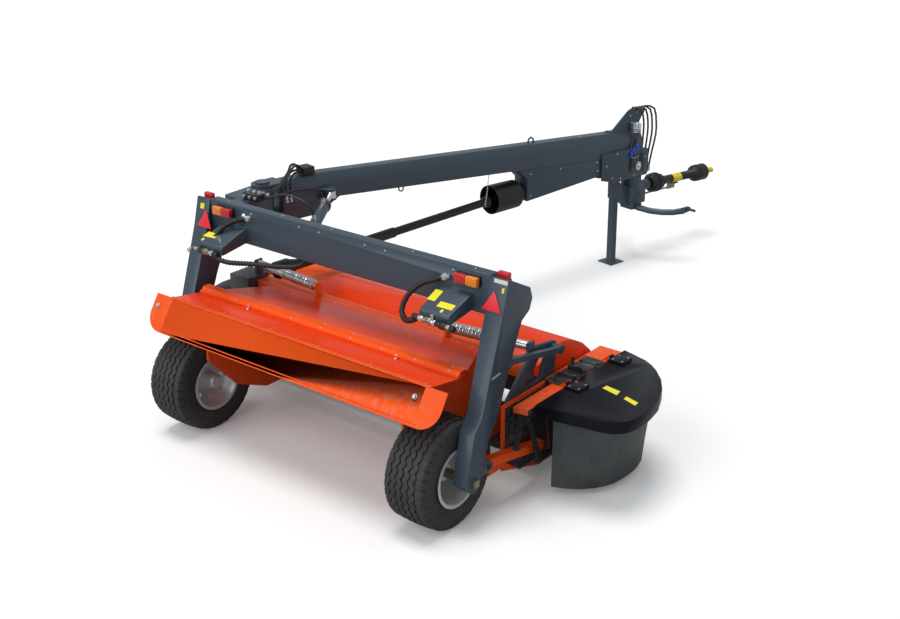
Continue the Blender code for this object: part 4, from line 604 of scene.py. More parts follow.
def bolt_head(size):
    """A hexagon head on a washer."""
    bpy.ops.mesh.primitive_cylinder_add(vertices=16, radius=size * 0.95, depth=size * 0.14,
                                        location=(0, 0, size * 0.07))
    washer = bpy.context.active_object
    bpy.ops.mesh.primitive_cylinder_add(vertices=6, radius=size * 0.62, depth=size * 0.46,
                                        location=(0, 0, size * 0.36))
    head = bpy.context.active_object
    bevel(head, size * 0.06, 1, 40)
    return join(washer, head)


def bolts(name, places, size, body, finish=BRIGHT):
    """Bolt heads at (place, way out) pairs, each turned a little further than the last."""
    head = bolt_head(size)
    matrices = [to_place(place, out, 0.4 * i) for i, (place, out) in enumerate(places)]
    return settle(copies(head, matrices), name, finish, body, 30)


def sticker(name, corners, finish, body, thick=0.0016):
    """A thin blank plate with the four given corners, stood off its surface."""
    corners = [Vector(c) for c in corners]
    bpy.ops.mesh.primitive_plane_add(size=1)
    made = bpy.context.active_object
    order = ((-1, -1), (1, -1), (1, 1), (-1, 1))
    for vertex in made.data.vertices:
        key = (1 if vertex.co.x > 0 else -1, 1 if vertex.co.y > 0 else -1)
        vertex.co = corners[order.index(key)]
    made.data.update()
    modifier = made.modifiers.new("thickness", "SOLIDIFY")
    modifier.thickness = thick
    modifier.offset = 1
    apply_all(made)
    bevel(made, thick * 0.4, 1, 40)
    return settle(made, name, finish, body, 30)


# CAD nodes

FINISHES = {
    "slate_paint": SLATE, "orange_paint": ORANGE, "red_orange_paint": SHADED_HOOD_ORANGE, "black_cover": COVER,
    "black_plastic": PLASTIC, "black_steel": BLACK_STEEL, "grey_canvas": CANVAS, "grey_iron": IRON,
    "rubber": RUBBER, "silver_rim": SILVER, "yellow_zinc": ZINC, "chrome": CHROME, "yellow_guard": YELLOW,
    "lamp_red": RED_LENS,
}
SLOT_OF = {row["node"]: row["material_slot"] for row in frame["record"]["subparts"]}
LONG_EDGE = 0.045              # shorter edges aren't rounded
SHARP = radians(35)            # nor are blunter ones
WIDE_FACE = 2.2                # nor those of a face that is narrower than this many roundings


def distance_to(line, point):
    best = 9.0
    for a, b in zip(line, line[1:]):
        nearest, share = intersect_point_line(point, a, b)
        nearest = a if share < 0 else b if share > 1 else nearest
        best = min(best, (point - nearest).length)
    return best


def mark_tints(bm, tints):
    """Numbers the faces that lie near each tint's lines."""
    layer = bm.faces.layers.int.new("tint")
    for number, (lines, reach, _, _) in enumerate(tints, 1):
        near = {vert for vert in bm.verts if any(distance_to(line, vert.co) < reach for line in lines)}
        for face in bm.faces:
            if near.issuperset(face.verts):
                face[layer] = number
    return layer


def paint_tints(made, tints):
    """Gives the numbered faces their own finish, and a pipe's faces their round look."""
    mesh = made.data
    for _, _, finish, _ in tints:
        mesh.materials.append(finish)
    numbers = [value.value for value in mesh.attributes["tint"].data]
    round_faces = {}
    for polygon, number in zip(mesh.polygons, numbers):
        polygon.material_index = number
        if number and tints[number - 1][3]:
            for key in polygon.edge_keys:
                round_faces[key] = round_faces.get(key, 0) + 1
    for edge in mesh.edges:
        if round_faces.get(edge.key, 0) == 2:
            edge.use_edge_sharp = False


def to_round(edge, width):
    """Whether an edge is long and sharp, and its faces wide enough for the rounding."""
    if len(edge.link_faces) != 2 or edge.calc_length() <= LONG_EDGE or edge.calc_face_angle(0) <= SHARP:
        return False
    return all(face.calc_area() > WIDE_FACE * width * edge.calc_length() for face in edge.link_faces)


def rounded_copy(node, width):
    """A copy of a CAD node, its triangles merged into faces and its long edges rounded."""
    source = frame["nodes"][node]
    tints = TINTS.get(node, ())
    made = bpy.data.objects.new(node + "_panelled", source.data.copy())
    bpy.context.scene.collection.objects.link(made)
    pick(made)
    bpy.ops.object.mode_set(mode="EDIT")
    bpy.ops.mesh.select_all(action="SELECT")
    bpy.ops.mesh.remove_doubles(threshold=0.00002)
    bpy.ops.mesh.dissolve_limited(angle_limit=radians(0.6))
    bpy.ops.object.mode_set(mode="OBJECT")
    if width or tints:
        bm = bmesh.new()
        bm.from_mesh(made.data)
        layer = mark_tints(bm, tints)
        pipes = {number for number, tint in enumerate(tints, 1) if tint[3]}
        weights = bm.edges.layers.float.new("bevel_weight_edge")
        for edge in bm.edges:
            if to_round(edge, width) and not pipes.intersection(face[layer] for face in edge.link_faces):
                edge[weights] = 1.0
        bm.to_mesh(made.data)
        bm.free()
    if width:
        modifier = made.modifiers.new("rounding", "BEVEL")
        modifier.width = width
        modifier.segments = 2
        modifier.limit_method = "WEIGHT"
        modifier.use_clamp_overlap = False
    finish = FINISHES[SLOT_OF[node]]
    settle(made, node + "_panelled", finish, BODY_OF[node], 32)
    if tints:
        paint_tints(made, tints)
    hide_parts(node)
    return made


# Lines that hoses and fittings follow, as in the part's source
HOSE_RIGHT = ((0.975, 0.012, 1.628), (0.922, -0.040, 1.606), (0.832, -0.100, 1.566), (0.768, -0.160, 1.481),
              (0.757, -0.200, 1.389), (0.827, -0.240, 1.352), (0.930, -0.266, 1.392))
HOSE_LEFT = ((-0.925, 0.012, 1.650), (-1.020, -0.045, 1.625), (-1.104, -0.100, 1.572),
             (-1.140, -0.170, 1.490),
             (-1.100, -0.240, 1.420), (-1.000, -0.275, 1.385))
HOSE_RETURN = ((-1.000, -0.275, 1.385), (-0.900, -0.245, 1.372), (-0.740, -0.170, 1.375),
               (-0.554, -0.080, 1.370), (-0.430, 0.010, 1.378), (-0.370, 0.080, 1.450))
HOSE_RADIUS = 0.0165
CONSOLE_HOSES = [softened([at(*point) for point in points])
                 for points in (HOSE_RIGHT, HOSE_LEFT, HOSE_RETURN)]
LIP = (-0.264, 1.412)          # y and z of the couplings' line
FITTINGS = [[at(0.918, *LIP), at(1.268, LIP[0], LIP[1] - 0.010)], [at(-1.012, *LIP), at(-1.310, *LIP)]]
MAST_HOSES = [-0.026 + 0.037 * i for i in range(4)]
MAST_LINES = []
for i, x in enumerate(MAST_HOSES):
    wide = 0.022 * i
    MAST_LINES.append(softened([along(*point) for point in (
        (x, 4.430, 1.578), (x, 4.480, 1.594 + wide / 2), (x, 4.560 + wide, 1.545 + wide / 2),
        (x, 4.600 + wide, 1.430), (x, 4.603 + wide, 1.300), (x, 4.592 + wide / 2, 1.140), (x, 4.586, 0.980),
        (x, 4.585, 0.928))]))
RIDGE = [at(-1.268, -0.182, 1.058), at(1.268, -0.182, 1.058)]

# Per node: lines, how near a face lies to them, its finish, and whether it is a pipe
TINTS = {
    "top_beam": ((FITTINGS, 0.0275, BLACK_STEEL, True), (CONSOLE_HOSES, HOSE_RADIUS + 0.003, HOSE, True)),
    "nose_mast": ((MAST_LINES, 0.0125, WORN_HOSE, True),),
    # On the hood, the ridge's faces take the board's lighter orange, while the rest keeps the painted-shade
    # copy of it
    "hood": (([RIDGE], 0.075, ORANGE, False),),
}

# Rounding of each node's long edges; a node that isn't named is only smoothed
ROUNDING = {
    "top_beam": 0.005, "leg_right": 0.005, "leg_left": 0.005, "drawbar_beam": 0.004, "driveline_box": 0.003,
    "header_tube": 0.006, "rear_board": 0.002, "hood": 0.002, "front_hood": 0.002, "cover_right": 0.003,
    "cover_left": 0.003, "hitch_head": 0.002, "stand": 0.004, "nose_mast": 0.002, "a_frame": 0.002,
    "header_gearbox": 0.003, "gearbox_front": 0.003, "hitch_turret": 0.004,
}
DETAILED = {"tyre_right", "tyre_left", "lamp_right", "lamp_left", "marker_right", "marker_left",
            "skirt_right",
            "skirt_left", "front_curtain", "spring_right", "spring_left"}


def dress_the_frame():
    for node in frame["nodes"]:
        frame["nodes"][node].data.materials.clear()
        frame["nodes"][node].data.materials.append(FINISHES[SLOT_OF[node]])
        if node not in DETAILED:
            rounded_copy(node, ROUNDING.get(node, 0.0))


# Tyres

TREAD_PITCHES = 34
RIBS = 6
TYRE_RADIUS = 0.390
HUB_FACE = 0.049               # how far it lies inwards of the wheel's middle
NUT_CIRCLE = 0.082


def make_tyre(side):
    """A road tyre for implements: ribs parted by zigzag grooves, with notched shoulders."""
    node = "tyre_" + side
    centre = middle(node)
    low, high = box_of(node)
    half = (high[0] - low[0]) / 2
    tread_half = half - 0.018
    groove = 0.0125
    rib = (2 * tread_half - (RIBS - 1) * groove) / RIBS
    # Rows across the tread: distance across, radius, and how far the row swings in the zigzag
    rows = [(-0.135, 0.205, 0), (-0.150, 0.208, 0), (-0.160, 0.222, 0), (-half + 0.002, 0.270, 0),
            (-half, 0.310, 0), (-half + 0.003, 0.338, 0), (-half + 0.004, 0.343, 2),
            (-half + 0.010, 0.368, 2)]
    for i in range(RIBS):
        start = -tread_half + i * (rib + groove)
        crown = TYRE_RADIUS - 0.010 * (abs(start + rib / 2) / tread_half) ** 2
        swing = 0 if i in (0, RIBS - 1) else 1
        rows += [(start, crown - 0.001, swing if i else 3), (start + 0.003, crown, swing if i else 3),
                 (start + rib - 0.003, crown, 1 if i < RIBS - 1 else 3),
                 (start + rib, crown - 0.001, 1 if i < RIBS - 1 else 3)]
        if i < RIBS - 1:
            rows += [(start + rib + 0.001, crown - 0.013, 1),
                     (start + rib + groove - 0.001, crown - 0.013, 1)]
    rows += [(half - 0.010, 0.368, 2), (half - 0.004, 0.343, 2), (half - 0.003, 0.338, 0), (half, 0.310, 0),
             (half - 0.002, 0.270, 0), (0.160, 0.222, 0), (0.150, 0.208, 0), (0.135, 0.205, 0),
             (0.0, 0.2052, 0)]
    steps = TREAD_PITCHES * 8
    bpy.ops.mesh.primitive_torus_add(major_segments=steps, minor_segments=len(rows), major_radius=0.3,
                                     minor_radius=0.1)
    made = bpy.context.active_object
    zig = [sin(2 * pi * k / 8) for k in range(8)]
    for index, vertex in enumerate(made.data.vertices):
        turn, row = divmod(index, len(rows))
        across, radius, kind = rows[row]
        phase = zig[turn % 8]
        if kind == 1:
            across += 0.0085 * phase
        elif kind == 2 and phase > 0.9:
            across -= 0.007 if across > 0 else -0.007
            radius -= 0.010
        elif kind == 3 and phase > 0.9:
            radius -= 0.008
        angle = 2 * pi * turn / steps
        vertex.co = centre + Vector((across, radius * cos(angle), radius * sin(angle)))
    made.data.update()
    face_outwards(made)
    settle(made, "tread_" + side, RUBBER, "wheel_" + side, 42)
    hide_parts(node)


def make_wheel_nuts(side):
    """Eight nuts on the hub's face."""
    centre = middle("tyre_" + side)
    out = 1 if side == "right" else -1
    places = []
    for i in range(8):
        angle = 2 * pi * i / 8 + 0.2
        place = (centre.x - out * HUB_FACE, centre.y + NUT_CIRCLE * cos(angle),
                 centre.z + NUT_CIRCLE * sin(angle))
        places.append((place, (out, 0, 0)))
    bolts("wheel_nuts_" + side, places, 0.013, "wheel_" + side)


# Lamps, markers and plates

def make_lamps(side):
    """A lamp cluster, red inside and amber outside, with ribbed lenses in a dark frame."""
    low, high = box_of("lamp_" + side)
    cut = (low.x + high.x) / 2
    back = slab((low.x, high.y - 0.020, low.z), (high.x, high.y, high.z), 0.003)
    settle(back, "lamp_base_" + side, PLASTIC, "carrier")
    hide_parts("lamp_" + side)
    spans = [(low.x + 0.001, cut - 0.001), (cut + 0.001, high.x - 0.001)]
    finishes = [(RED_LENS, "red"), (AMBER_LENS, "amber")]
    if side == "left":
        finishes.reverse()
    for (first, last), (finish, word) in zip(spans, finishes):
        lens = slab((first, low.y, low.z + 0.002), (last, high.y - 0.018, high.z - 0.002), 0.009)
        ridges = []
        for i in range(5):
            x = first + (last - first) * (i + 1) / 6
            ridges.append(slab((x - 0.003, low.y - 0.001, low.z + 0.010),
                               (x + 0.003, low.y + 0.004, high.z - 0.010), 0.001))
        made = join(lens, *ridges)
        settle(made, "lens_" + word + "_" + side, finish, "carrier")


def make_marker(side):
    low, high = box_of("marker_" + side)
    made = join(slab((low.x + 0.002, low.y + 0.001, low.z + 0.012),
                     (high.x - 0.002, high.y - 0.001, high.z), 0.008),
                slab((low.x, low.y, low.z + 0.002), (high.x, high.y, low.z + 0.016), 0.002))
    settle(made, "marker_lens_" + side, RED_LENS, "carrier")
    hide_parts("marker_" + side)


def make_triangle(side):
    """A red warning triangle low on the leg's head."""
    middle_x = 1.405 if side == "right" else -1.377
    bpy.ops.mesh.primitive_circle_add(vertices=3, radius=0.092, fill_type="NGON", location=(0, 0, 0))
    made = bpy.context.active_object
    bpy.ops.object.mode_set(mode="EDIT")
    bpy.ops.mesh.select_all(action="SELECT")
    bpy.ops.mesh.extrude_region_move(TRANSFORM_OT_translate={"value": (0, 0, 0.006)})
    bpy.ops.object.mode_set(mode="OBJECT")
    lean = atan2(0.057, 0.215)
    made.matrix_world = Matrix.Translation(at(middle_x, -0.0485, 1.546)) @ Matrix.Rotation(pi / 2 - lean, 4,
                                                                                           "X")
    bevel(made, 0.0035, 2, 30)
    face_outwards(made)
    settle(made, "triangle_" + side, REFLECTOR, "carrier")


# Cloth

def cloth_grid(name, tops, feet, rows, folds, deep, thick=0.0036):
    """A cloth between two lines, with upright folds that grow towards its foot, and its area."""
    across = len(tops) - 1
    bpy.ops.mesh.primitive_grid_add(x_subdivisions=across, y_subdivisions=rows, size=1)
    made = bpy.context.active_object
    places = []
    for j in range(rows + 1):
        share = j / rows
        for i, (top, foot) in enumerate(zip(tops, feet)):
            ahead = (tops[min(i + 1, across)] - tops[max(i - 1, 0)]).normalized()
            away = Vector((ahead.y, -ahead.x, 0))
            wave = sin(folds * i / across + 1.7 * share) + 0.5 * sin(2.3 * folds * i / across - 2.1 * share)
            places.append(top.lerp(foot, share) + away * (deep * wave * share ** 0.6))
    for vertex, place in zip(made.data.vertices, places):
        vertex.co = place
    made.data.update()
    area = sum(polygon.area for polygon in made.data.polygons)
    modifier = made.modifiers.new("thickness", "SOLIDIFY")
    modifier.thickness = thick
    modifier.offset = 0
    apply_all(made)
    made.name = name
    return made, area


def hang_cloth(name, node, body, tops, feet, folds, deep, laps):
    """A hanging cloth with a hem and lapped seams."""
    cloth, area = cloth_grid(name, tops, feet, 14, folds, deep)
    low = [foot.lerp(top, 0.045) for top, foot in zip(tops, feet)]
    bands = [cloth_grid(name + "_hem", low, feet, 1, 0.0, 0.0, 0.0070)[0]]
    for first in laps:
        seam = slice(first, first + 3)
        bands.append(cloth_grid(name + "_lap", tops[seam], feet[seam], 8, 0.0, 0.0, 0.0075)[0])
    band = settle(join(*bands), name + "_hem", CANVAS, body, 50)
    settle(cloth, name, CANVAS, body, 60)
    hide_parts(node)


SKIRT_RIGHT = ((1.680, 0.290), (1.800, 0.306), (1.920, 0.325), (2.040, 0.350), (2.105, 0.375),
               (2.150, 0.425), (2.170, 0.510), (2.172, 0.600), (2.150, 0.760), (2.100, 0.915),
               (2.035, 1.035), (1.950, 1.135), (1.850, 1.220), (1.740, 1.285), (1.640, 1.325))
SKIRT_RIGHT_FOOT = ((1.603, 0.394), (1.680, 0.424), (1.750, 0.466), (1.815, 0.520), (1.862, 0.575),
                    (1.898, 0.635), (1.923, 0.700), (1.938, 0.780), (1.944, 0.870), (1.940, 0.960),
                    (1.922, 1.060), (1.890, 1.150), (1.825, 1.220), (1.735, 1.270), (1.640, 1.300))
SKIRT_LEFT = ((1.730, 0.400), (1.800, 0.430), (1.848, 0.520), (1.852, 0.860), (1.838, 1.110),
              (1.800, 1.210), (1.720, 1.280))


def hang_the_skirts():
    high, low = 0.7500, 0.0605
    tops = softened([at(x, y, high) for x, y in SKIRT_RIGHT], 4)
    feet = softened([at(x, y, low) for x, y in SKIRT_RIGHT_FOOT], 4)
    hang_cloth("skirt_cloth_right", "skirt_right", "cover_right", tops, feet, 19.0, 0.0026, (23, 41))
    tops = softened([at(-x, y, high) for x, y in SKIRT_LEFT], 6)
    feet = [Vector((point.x, point.y, low)) for point in tops]
    hang_cloth("skirt_cloth_left", "skirt_left", "cover_left", tops, feet, 17.0, 0.0026, (17,))
    rail = join(slab(at(-1.369, 1.3585, 0.521), at(1.369, 1.3640, 0.579), 0.001),
                slab(at(-1.369, 1.3640, 0.566), at(1.369, 1.3800, 0.579), 0.001))
    settle(rail, "curtain_rail", BLACK_STEEL, "header")
    count = 120
    tops = [at(-1.368 + 2.736 * i / count, 1.3672, 0.572) for i in range(count + 1)]
    feet = [at(-1.366 + 2.732 * i / count, 1.3690, 0.122) for i in range(count + 1)]
    hang_cloth("front_cloth", "front_curtain", "header", tops, feet, 88.0, 0.0028, (30, 60, 90))
    places = [(at(-1.30 + 2.60 * i / 13, 1.3702, 0.550), (0, 1, 0)) for i in range(14)]
    bolts("curtain_bolts", places, 0.008, "header")


# Springs

def make_spring(side):
    """A suspension spring: the fine coil, its collars and the smooth tube behind it."""
    sign = 1 if side == "right" else -1
    first, last = at(sign * 0.664, 0.415, 1.038), at(sign * 1.3477, 0.455, 1.058)
    way = (last - first).normalized()
    length = (last - first).length
    coil = wrapping([first + way * 0.036, first + way * 0.356], 0.0380, 0.0060, 0.0160, 14)
    near = barrel(first + way * 0.020, first + way * 0.036, 0.0435, 28, 0.002)
    far = barrel(first + way * 0.356, first + way * 0.376, 0.0435, 28, 0.002)
    tail = barrel(first + way * 0.376, first + way * (length - 0.005), 0.0335, 28, 0.001)
    eye = barrel(first, first + way * 0.020, 0.0235, 20, 0.002)
    made = join(coil, near, far, tail, eye)
    settle(made, "coil_" + side, BRIGHT, "header", 50)
    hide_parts("spring_" + side)
    core = barrel(first + way * 0.034, first + way * 0.358, 0.0335, 24)
    settle(core, "coil_core_" + side, BLACK_STEEL, "header", 40)


# Hoses and their couplings

def wrap_the_hoses():
    """Smooth hoses with spiral guards on the carrier, over the part's own."""
    for name, line in zip(("right", "left", "return"), CONSOLE_HOSES):
        pipe = route(line, HOSE_RADIUS + 0.0006, 3, soft=False)
        guard = wrapping(line, HOSE_RADIUS - 0.0010, 0.0060, 0.0250, 16)
        settle(pipe, "hose_" + name, HOSE, "carrier", 60)
        settle(guard, "hose_guard_" + name, PLASTIC, "carrier", 60)


def chain_of(start, end, steps):
    """Hexagons and barrels set end to end on a line: steps are (from, to, radius, sides, finish)."""
    way = (end - start).normalized()
    made = {}
    for first, last, radius, sides, finish in steps:
        body = barrel(start + way * first, start + way * last, radius, sides, min(0.0015, radius * 0.06))
        made.setdefault(finish.name, (finish, []))[1].append(body)
    return made


def settle_chain(made, name, body):
    for word, (finish, parts) in made.items():
        settle(join(*parts), name + "_" + word, finish, body, 32)


def make_couplings():
    """The row of hose couplings on the lip of each console."""
    steps = [(-0.014, 0.034, 0.0225, 20, PLASTIC), (0.034, 0.046, 0.0195, 20, BRIGHT),
             (0.046, 0.070, 0.0225, 6, BRIGHT),
             (0.070, 0.094, 0.0180, 20, ZINC), (0.094, 0.138, 0.0262, 6, ZINC),
             (0.138, 0.160, 0.0190, 20, BRIGHT),
             (0.160, 0.176, 0.0215, 6, BRIGHT), (0.176, 0.216, 0.0185, 20, BLACK_STEEL),
             (0.218, 0.264, 0.0275, 24, PLASTIC), (0.264, 0.300, 0.0215, 20, ZINC),
             (0.300, 0.333, 0.0205, 20, PLASTIC)]
    start, end = FITTINGS[0]
    start = start + (end - start).normalized() * 0.007
    made = chain_of(start, end, steps)
    knob = at(1.078, -0.264, 1.410)
    handle = [barrel(knob, knob + Vector((0, -0.004, 0.046)), 0.008, 14, 0.001),
              barrel(knob + Vector((0, -0.004, 0.040)), knob + Vector((0, -0.005, 0.054)), 0.014, 6, 0.001)]
    made[BRIGHT.name][1].extend(handle)
    settle_chain(made, "coupling_right", "carrier")
    steps = [(-0.014, 0.036, 0.0225, 20, PLASTIC), (0.036, 0.062, 0.0225, 6, BRIGHT),
             (0.062, 0.094, 0.0185, 20, ZINC),
             (0.094, 0.140, 0.0262, 6, ZINC), (0.140, 0.190, 0.0250, 20, BLACK_STEEL),
             (0.190, 0.222, 0.0180, 6, ZINC),
             (0.222, 0.250, 0.0150, 16, BRIGHT)]
    start, end = FITTINGS[1]
    start = start + (end - start).normalized() * 0.008
    made = chain_of(start, end, steps)
    tip = at(-1.272, -0.264, 1.412)
    made[ZINC.name][1].append(barrel(tip, tip + Vector((0, -0.038, 0.0)), 0.016, 16, 0.002))
    made[BRIGHT.name][1].append(barrel(tip + Vector((0, -0.038, 0)), tip + Vector((0, -0.058, 0)), 0.0185,
                                       6, 0.001))
    settle_chain(made, "coupling_left", "carrier")
    # Elbows where the hoses leave the beam
    for name, place, way in (("right", (0.975, 0.0, 1.628), 1), ("left", (-0.925, 0.0, 1.650), -1)):
        root = at(*place)
        parts = [barrel(root + Vector((0, 0.002, 0)), root + Vector((0, -0.016, 0)), 0.026, 6, 0.001),
                 barrel(root + Vector((0, -0.014, 0)), root + Vector((0, -0.030, 0)), 0.020, 20, 0.001),
                 barrel(root + Vector((0.034 * way, -0.014, 0.012)), root + Vector((0, -0.014, 0)), 0.013,
                        14, 0.001),
                 barrel(root + Vector((0.052 * way, -0.014, 0.018)),
                        root + Vector((0.034 * way, -0.014, 0.012)),
                        0.018, 6, 0.001)]
        settle(join(*parts), "beam_elbow_" + name, BRIGHT, "carrier", 32)


VALVE_REAR, VALVE_TOP, VALVE_PORT = 0.285, 1.715, 1.690
PIVOT_HOSE_STARTS = [at(x, 0.375, VALVE_PORT) for x in (-1.205, -1.155)]
THIN_HOSE = 0.0085


def make_valve_block():
    """The valve block on the arm and its fittings."""
    block = slab(at(-1.300, VALVE_REAR, 1.6605), at(-1.130, 0.375, VALVE_TOP), 0.004)
    settle(block, "valve_block", BLACK_STEEL, "carrier")
    fittings = []
    for x in (-1.275, -1.215, -1.155):
        root = at(x, 0.330, VALVE_TOP)
        fittings += [barrel(root - Vector((0, 0, 0.004)), root + Vector((0, 0, 0.014)), 0.017, 6, 0.001),
                     barrel(root + Vector((0, 0, 0.012)), root + Vector((0, 0, 0.022)), 0.0125, 16, 0.001)]
        side = at(x, VALVE_REAR, VALVE_PORT)
        fittings.append(barrel(side + Vector((0, 0.004, 0)), side - Vector((0, 0.016, 0)), 0.014, 6, 0.001))
    for start in PIVOT_HOSE_STARTS:
        fittings += [barrel(start - Vector((0, 0.004, 0)), start + Vector((0, 0.018, 0)), 0.016, 6, 0.001),
                     barrel(start + Vector((0, 0.016, 0)), start + Vector((0, 0.050, 0)), 0.0130, 16,
                            0.001)]
    settle(join(*fittings), "valve_fittings", BRIGHT, "carrier", 32)


def lead_the_pivot_hoses():
    """The two hoses that cross the drawbar's pivot, and the box that they enter."""
    box = slab((-0.050, 0.360, 1.6906), (0.066, 0.470, 1.752), 0.003)
    box = join(box, slab((-0.060, 0.350, 1.6906), (0.070, 0.480, 1.698), 0.001))
    box.data.transform(Matrix.Translation(along(0, 0, 0)) @ Matrix.Rotation(-REST_SWING, 4, "Z"))
    settle(box, "hose_box", BLACK_STEEL, "drawbar")
    for i, start in enumerate(PIVOT_HOSE_STARTS):
        x = 0.046 * i - 0.026
        apart = 0.022 * i
        points = [start, start + Vector((0, 0.060, 0)), at(-1.185 + apart, 0.530, 1.704),
                  at(-1.212 + apart, 0.640, 1.742), at(-1.262 + apart, 0.755, 1.778),
                  along(x + 0.070, 0.255, 1.7955), along(x + 0.034, 0.312, 1.784),
                  along(x + 0.010, 0.350, 1.750), along(x, 0.372, 1.722)]
        made = route(points, 0.0105, 3)
        settle(made, "pivot_hose_" + str(i + 1), HOSE, None, 60)
        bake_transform(made)


def lead_the_side_hoses():
    """Two thin hoses that come back out of the box and down the drawbar's side."""
    ends = []
    for i in range(2):
        s = 0.150 + 0.040 * i
        foot = along(0.118, s, 1.570)
        hose = route([along(0.040, 0.372, 1.730 - 0.020 * i), along(0.046, 0.335, 1.742 - 0.020 * i),
                      along(0.072, s + 0.105, 1.752 - 0.016 * i),
                      along(0.104, s + 0.030, 1.732 - 0.010 * i),
                      along(0.118, s, 1.680), along(0.119, s, 1.620), foot], THIN_HOSE, 3)
        settle(hose, "side_hose_" + str(i + 1), HOSE, "drawbar", 60)
        ends += [barrel(foot + Vector((0, 0, 0.010)), foot - Vector((0, 0, 0.032)), 0.0120, 6, 0.001),
                 barrel(foot - Vector((0, 0, 0.030)), foot - Vector((0, 0, 0.052)), 0.0105, 16, 0.001),
                 barrel(along(0.093, s, 1.525), along(0.130, s, 1.525), 0.0110, 12, 0.001)]
    settle(join(*ends), "side_hose_ends", BRIGHT, "drawbar", 32)


def lead_the_cylinder_hoses():
    """The swing cylinder's two ports and their hoses."""
    base, eye = at(-0.620, 0.345, 1.520), at(-1.154, 1.125, 1.520)
    way = (eye - base).normalized()
    for word, share, height in (("base", 0.130, 1.735), ("end", 0.560, 1.700)):
        port = base + way * share
        boss = join(barrel(port + Vector((0, 0, 0.040)), port + Vector((0, 0, 0.066)), 0.018, 16, 0.001),
                    barrel(port + Vector((0, 0, 0.064)), port + Vector((0, 0, 0.084)), 0.016, 6, 0.001))
        settle(boss, "port_" + word, BRIGHT, "swing_barrel", 32)
        start = at(-1.132, 0.345 if word == "base" else 0.360, VALVE_PORT)
        points = [start, start + Vector((0.060, 0.004, 0.008)),
                  (start + port) / 2 + Vector((0, 0, height - 1.605)),
                  port + Vector((-0.010, -0.010, 0.130)), port + Vector((0, 0, 0.076))]
        made = route(points, THIN_HOSE, 3)
        settle(made, "cylinder_hose_" + word, HOSE, None, 60)
        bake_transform(made)


def make_mast_details():
    """On the drawbar's nose: hose clamps, the wire guide and the couplers in their holder."""
    clamps = [slab(along(-0.044, 4.428, 1.590), along(0.104, 4.452, 1.606), 0.003)]
    for x in MAST_HOSES:
        clamps.append(barrel(along(x, 4.432, 1.5800), along(x, 4.462, 1.5900), 0.0145, 16, 0.001))
    settle(join(*clamps), "mast_clamp", PLASTIC, "drawbar")
    rings = [barrel(along(x, 4.586, 0.990), along(x, 4.585, 0.935), 0.0140, 6, 0.001) for x in MAST_HOSES]
    settle(join(*rings), "mast_hose_ends", BRIGHT, "drawbar", 32)
    # Wire guide: a loose coil on the right of the mast
    turns = []
    for i in range(5 * 16 + 1):
        angle = 2 * pi * i / 16
        turns.append(along(0.098 + 0.050 * cos(angle), 4.350 + 0.050 * sin(angle), 1.372 + 0.105 * i / 80))
    guide = join(route(turns, 0.0045, 2, soft=False),
                 barrel(along(0.040, 4.350, 1.372), along(0.060, 4.350, 1.372), 0.006, 10),
                 barrel(along(0.040, 4.350, 1.472), along(0.060, 4.350, 1.472), 0.006, 10))
    settle(guide, "wire_guide", BRIGHT, "drawbar", 60)
    hung = []
    for i, (s, high) in enumerate(((4.320, 1.370), (4.352, 1.376), (4.384, 1.368))):
        hung.append(route([along(0.078 + 0.012 * i, s, high + 0.090),
                           along(0.082 + 0.012 * i, s, high + 0.020),
                           along(0.098, s - 0.020, 1.285),
                           along(0.112, s - 0.050 + 0.012 * i, 1.215)], 0.0062, 2))
    settle(join(*hung), "coupler_hoses", WORN_HOSE, "drawbar", 60)
    for i, (s, high) in enumerate(((4.272, 1.196), (4.310, 1.232), (4.350, 1.262))):
        coupler = barrel(along(0.122, s, high - 0.070), along(0.122, s, high), 0.0150, 18, 0.002)
        settle(coupler, "coupler_" + str(i + 1), BLUE, "drawbar", 32)
    sleeves = []
    for s, high, drop in ((4.287, 1.125, 0.150), (4.450, 1.150, 0.190), (4.310, 1.160, 0.130)):
        sleeves.append(barrel(along(0.124, s, high - drop), along(0.124, s, high), 0.0105, 14, 0.001))
    settle(join(*sleeves), "coupler_sleeves", WORN_HOSE, "drawbar", 32)
    holder = slab(along(0.1075, 4.255, 1.128) - Vector((0.006, 0, 0)),
                  along(0.1075, 4.365, 1.138) + Vector((0.030, 0, 0)), 0.001)
    settle(holder, "coupler_holder", ZINC, "drawbar")
    boss = join(barrel(along(0.105, 4.400, 1.020), along(0.119, 4.400, 1.020), 0.046, 32, 0.002),
                barrel(along(0.119, 4.400, 1.020), along(0.131, 4.400, 1.020), 0.022, 6, 0.001))
    settle(boss, "trunnion_cap", BRIGHT, "drawbar", 32)


def make_chain():
    """The chain from the drawbar to the driveline's guard."""
    top, low = along(0, 2.453, 1.300), along(0.062, 2.352, 1.010)
    count = 15
    points = [top.lerp(low, i / count) + Vector((0, 0, -0.02 * sin(pi * i / count)))
              for i in range(count + 1)]
    links = []
    for i, (a, b) in enumerate(zip(points, points[1:])):
        way = (b - a).normalized()
        side = way.cross(Vector((0, 1, 0))).normalized()
        if i % 2:
            side = way.cross(side)
        long, wide = (b - a).length / 2 + 0.0030, 0.0048
        centre = (a + b) / 2
        ring = []
        for k in range(12):
            angle = 2 * pi * k / 12
            stretch = long - wide if cos(angle) > 0 else wide - long
            ring.append(centre + way * (stretch + wide * cos(angle)) + side * wide * sin(angle))
        links.append(route(ring, 0.0018, 1, closed=True, soft=False))
    made = join(*links)
    settle(made, "guard_chain", BRIGHT, None, 60)
    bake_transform(made)


# Fastenings

def hood_top(y):
    """The height of the hood's top, in front of its ridge."""
    return 1.036 - 0.0991 * (y + 0.18)


